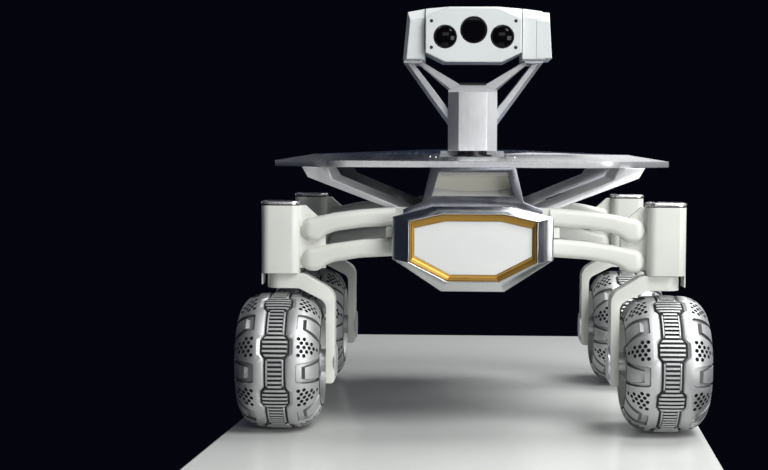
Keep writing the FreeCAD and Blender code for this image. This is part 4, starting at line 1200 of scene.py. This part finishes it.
def build_head(scene):
    """Build the camera head: housing, plate, lenses and both cheeks"""
    softened("head_housing", 1.2, finish="head_paint")
    loop = octagon_loop(HEAD)
    plate = [stacked([at_y(inset_loop(loop, inset), HEAD_FRONT + back)
                      for inset, back in HEAD_RIM], "head_paint", False),
             pierced(inset_loop(loop, HEAD_RIM[0][0]), LENSES, HEAD_FRONT, "head_paint")]
    glass = []
    for x, z, r in LENSES:
        ball = DEEP_BALL if r < WIDE_LENS else FLAT_BALL
        edge = r - LENS_EDGE
        half_chord = math.sqrt(ball ** 2 - edge ** 2)
        foot = LENS_CROWN - (ball - half_chord)
        dome = [(reach, foot + math.sqrt(ball ** 2 - reach ** 2) - half_chord)
                for reach in edge * np.cos(np.linspace(0.0, math.pi / 2, 9)[:-1])]
        barrel = [(r - less, forward) for less, forward in LENS_BARREL]
        for steps, finish, group in (
                ([(r - less, forward) for less, forward in LENS_RIM], "head_paint", plate),
                (barrel + [(r - 2.8, foot), (edge, foot)], "black_gloss", glass),
                (dome + [(0.0, LENS_CROWN)], "lens_glass", glass)):
            group.append(turned(steps, [(x, HEAD_FRONT, z)], (0, -1, 0), finish, ROUND))
    spots = [(x, HEAD_FRONT, z) for x in (-59.0, 59.0) for z in (571.0, 534.0)]
    plate.append(turned(HEAD_SCREW, spots, (0, -1, 0), "dark_plastic", 16))
    piece("head_plate_skin", plate, "head_plate", ("head_plate",), crease=24.0)
    piece("camera_lens_set", glass, "camera_lenses", ("camera_lenses",), crease=24.0)
    right = slab(RIGHT_CHEEK, MAST_Y, CHEEK_HALF, (0.8, 5.0, 12.6, 0.0), 12.6, "head_paint")
    left = [slab(LEFT_CHEEK, MAST_Y, CHEEK_HALF, (0.8, 0.0, 12.6, 0.0), 12.6, "head_paint"),
            slab(MOTOR_BOX, MAST_Y, CHEEK_HALF + 0.7, (0.0, 0.8, 13.4, 0.0), 13.0,
                 "head_paint")]
    for node, parts in (("right_cheek", [mirrored(right)]), ("left_cheek", left)):
        piece(node + "_skin", parts, node, (node,), crease=14.0, outward=True, bevel=1.0)


# ---- stage --------------------------------------------------------------------------------
CAMERA_PLACE = (-0.032, -2.376, 0.380)
CAMERA_YAW, CAMERA_PITCH, CAMERA_ROLL = 2.44, -2.9, 0.25
CAMERA_LENS = 72.05

# Name, place, the spot it looks at, size, watts.
LAMPS = (("key", (1.3, -1.6, 2.35), (0, 0, 0.3), (1.5, 1.2), 74),
         ("low_key", (1.8, -2.2, 0.5), (0, 0, 0.35), (1.6, 0.8), 36),
         ("front", (0.1, -2.9, 1.35), (0, 0, 0.35), (1.4, 0.7), 8),
         ("over", (0.9, 0.35, 2.0), (0, 0, 0.2), (1.1, 1.1), 40),
         ("back_right", (1.0, 2.3, 1.2), (0.1, 0, 0.3), (1.8, 1.1), 6),
         ("back_left", (-1.7, 2.2, 0.75), (0, 0, 0.35), (1.2, 0.9), 1.6),
         ("right_strip", (2.4, -0.1, 0.7), (0, 0, 0.3), (0.4, 0.8), 3))


def lamp(name, place, target, size, watts):
    """A rectangular soft light that looks from one place to another."""
    data = bpy.data.lights.new(name, "AREA")
    data.shape = "RECTANGLE"
    data.size, data.size_y = size
    data.energy = watts * bpy.context.scene.rover_stage.power
    thing = bpy.data.objects.new(name, data)
    thing.location = place
    aimed = Vector(target) - Vector(place)
    thing.rotation_euler = aimed.to_track_quat("-Z", "Y").to_euler()
    bpy.context.scene.collection.objects.link(thing)


TABLE_CORNERS = ((-436.0, -1600.0), (240.0, -1600.0), (390.0, 905.0), (-254.0, 905.0))
TABLE_THICK = 40.0


def table_top(corners, thick):
    """A slab under the given (x, y) corners: its top lies at z = 0 with a small round edge."""
    mesh = bpy.data.meshes.new("floor")
    top = stacked([at_z(inset_loop(corners, inset), z) for inset, z in
                   ((0.0, -thick), (0.0, -0.003), (0.0009, -0.0009), (0.003, 0.0))], None)
    mesh.from_pydata(top.points.tolist(), [], top.faces)
    return mesh


def build_stage(scene):
    """Build the floor, backdrop, lights and camera"""
    settings = scene.rover_stage
    corners = np.array(TABLE_CORNERS) * MM
    floor = bpy.data.objects.new("floor", table_top(corners, TABLE_THICK * MM))
    scene.collection.objects.link(floor)
    sheet = Sheet("floor")
    cloud = sheet.noise(1.2, detail=0.0)
    floor.data.materials.append(sheet.finish({
        "Base Color": sheet.between(cloud, opaque(settings.floor, 0.98),
                                    opaque(settings.floor, 1.01)),
        "Roughness": cloud * 0.06 + 0.18}))

    world = bpy.data.worlds.new("studio")
    scene.world = world
    world.use_nodes = True
    tree = world.node_tree
    tree.nodes["Background"].inputs["Strength"].default_value = 1.0
    seen = tree.nodes.new("ShaderNodeLightPath")
    choice = tree.nodes.new("ShaderNodeMix")
    choice.data_type = "RGBA"
    choice.inputs[6].default_value = opaque(settings.surroundings)
    choice.inputs[7].default_value = opaque(settings.backdrop)
    tree.links.new(seen.outputs["Is Camera Ray"], choice.inputs[0])
    tree.links.new(choice.outputs[2], tree.nodes["Background"].inputs["Color"])

    for row in LAMPS:
        lamp(*row)

    data = bpy.data.cameras.new("camera")
    data.lens = CAMERA_LENS
    data.sensor_width = 36.0
    camera = bpy.data.objects.new("camera", data)
    turn = (Matrix.Rotation(math.radians(CAMERA_YAW), 4, "Z")
            @ Matrix.Rotation(math.radians(90.0 + CAMERA_PITCH), 4, "X")
            @ Matrix.Rotation(math.radians(CAMERA_ROLL), 4, "Z"))
    camera.matrix_world = Matrix.Translation(CAMERA_PLACE) @ turn
    scene.collection.objects.link(camera)
    scene.camera = camera
    scene.view_settings.view_transform = "Standard"


def operator(label, build):
    """The operator of one step, which runs its build function on the current scene."""
    def execute(self, context):
        build(context.scene)
        return {"FINISHED"}

    name = build.__name__.removeprefix("build_")
    return type("ROVER_OT_" + name, (bpy.types.Operator,), {
        "__doc__": build.__doc__, "bl_idname": "rover." + name, "bl_label": label,
        "execute": execute})


STEPS = tuple(operator(label, build) for label, build in (
    ("Finishes", build_finishes), ("Wheels", build_wheels), ("Nose", build_nose),
    ("Chassis", build_chassis), ("Solar deck", build_deck), ("Suspension corners", build_corners),
    ("Mast", build_mast), ("Camera head", build_head), ("Stage", build_stage)))


class RoverPanel(bpy.types.Panel):
    """The rover's steps and settings in the sidebar."""
    bl_idname = "VIEW3D_PT_rover"
    bl_label = "Planetary rover"
    bl_space_type = "VIEW_3D"
    bl_region_type = "UI"
    bl_category = "Rover"

    def draw(self, context):
        for step in STEPS:
            self.layout.operator(step.bl_idname)
        for group, _ in GROUPS:
            settings = getattr(context.scene, group)
            for name in settings.__annotations__:
                self.layout.prop(settings, name)


GROUPS = (("rover_colours", RoverColours), ("rover_sizes", RoverSizes), ("rover_stage", RoverStage))


def register():
    for name, group in GROUPS:
        bpy.utils.register_class(group)
        setattr(bpy.types.Scene, name, bpy.props.PointerProperty(type=group))
    for kind in STEPS + (RoverPanel,):
        bpy.utils.register_class(kind)


def unregister():
    for kind in (RoverPanel,) + STEPS[::-1]:
        bpy.utils.unregister_class(kind)
    for name, group in GROUPS[::-1]:
        delattr(bpy.types.Scene, name)
        bpy.utils.unregister_class(group)


def main():
    register()
    for step in STEPS:
        group, name = step.bl_idname.split(".")
        getattr(getattr(bpy.ops, group), name)()


if __name__ == "__main__":
    main()
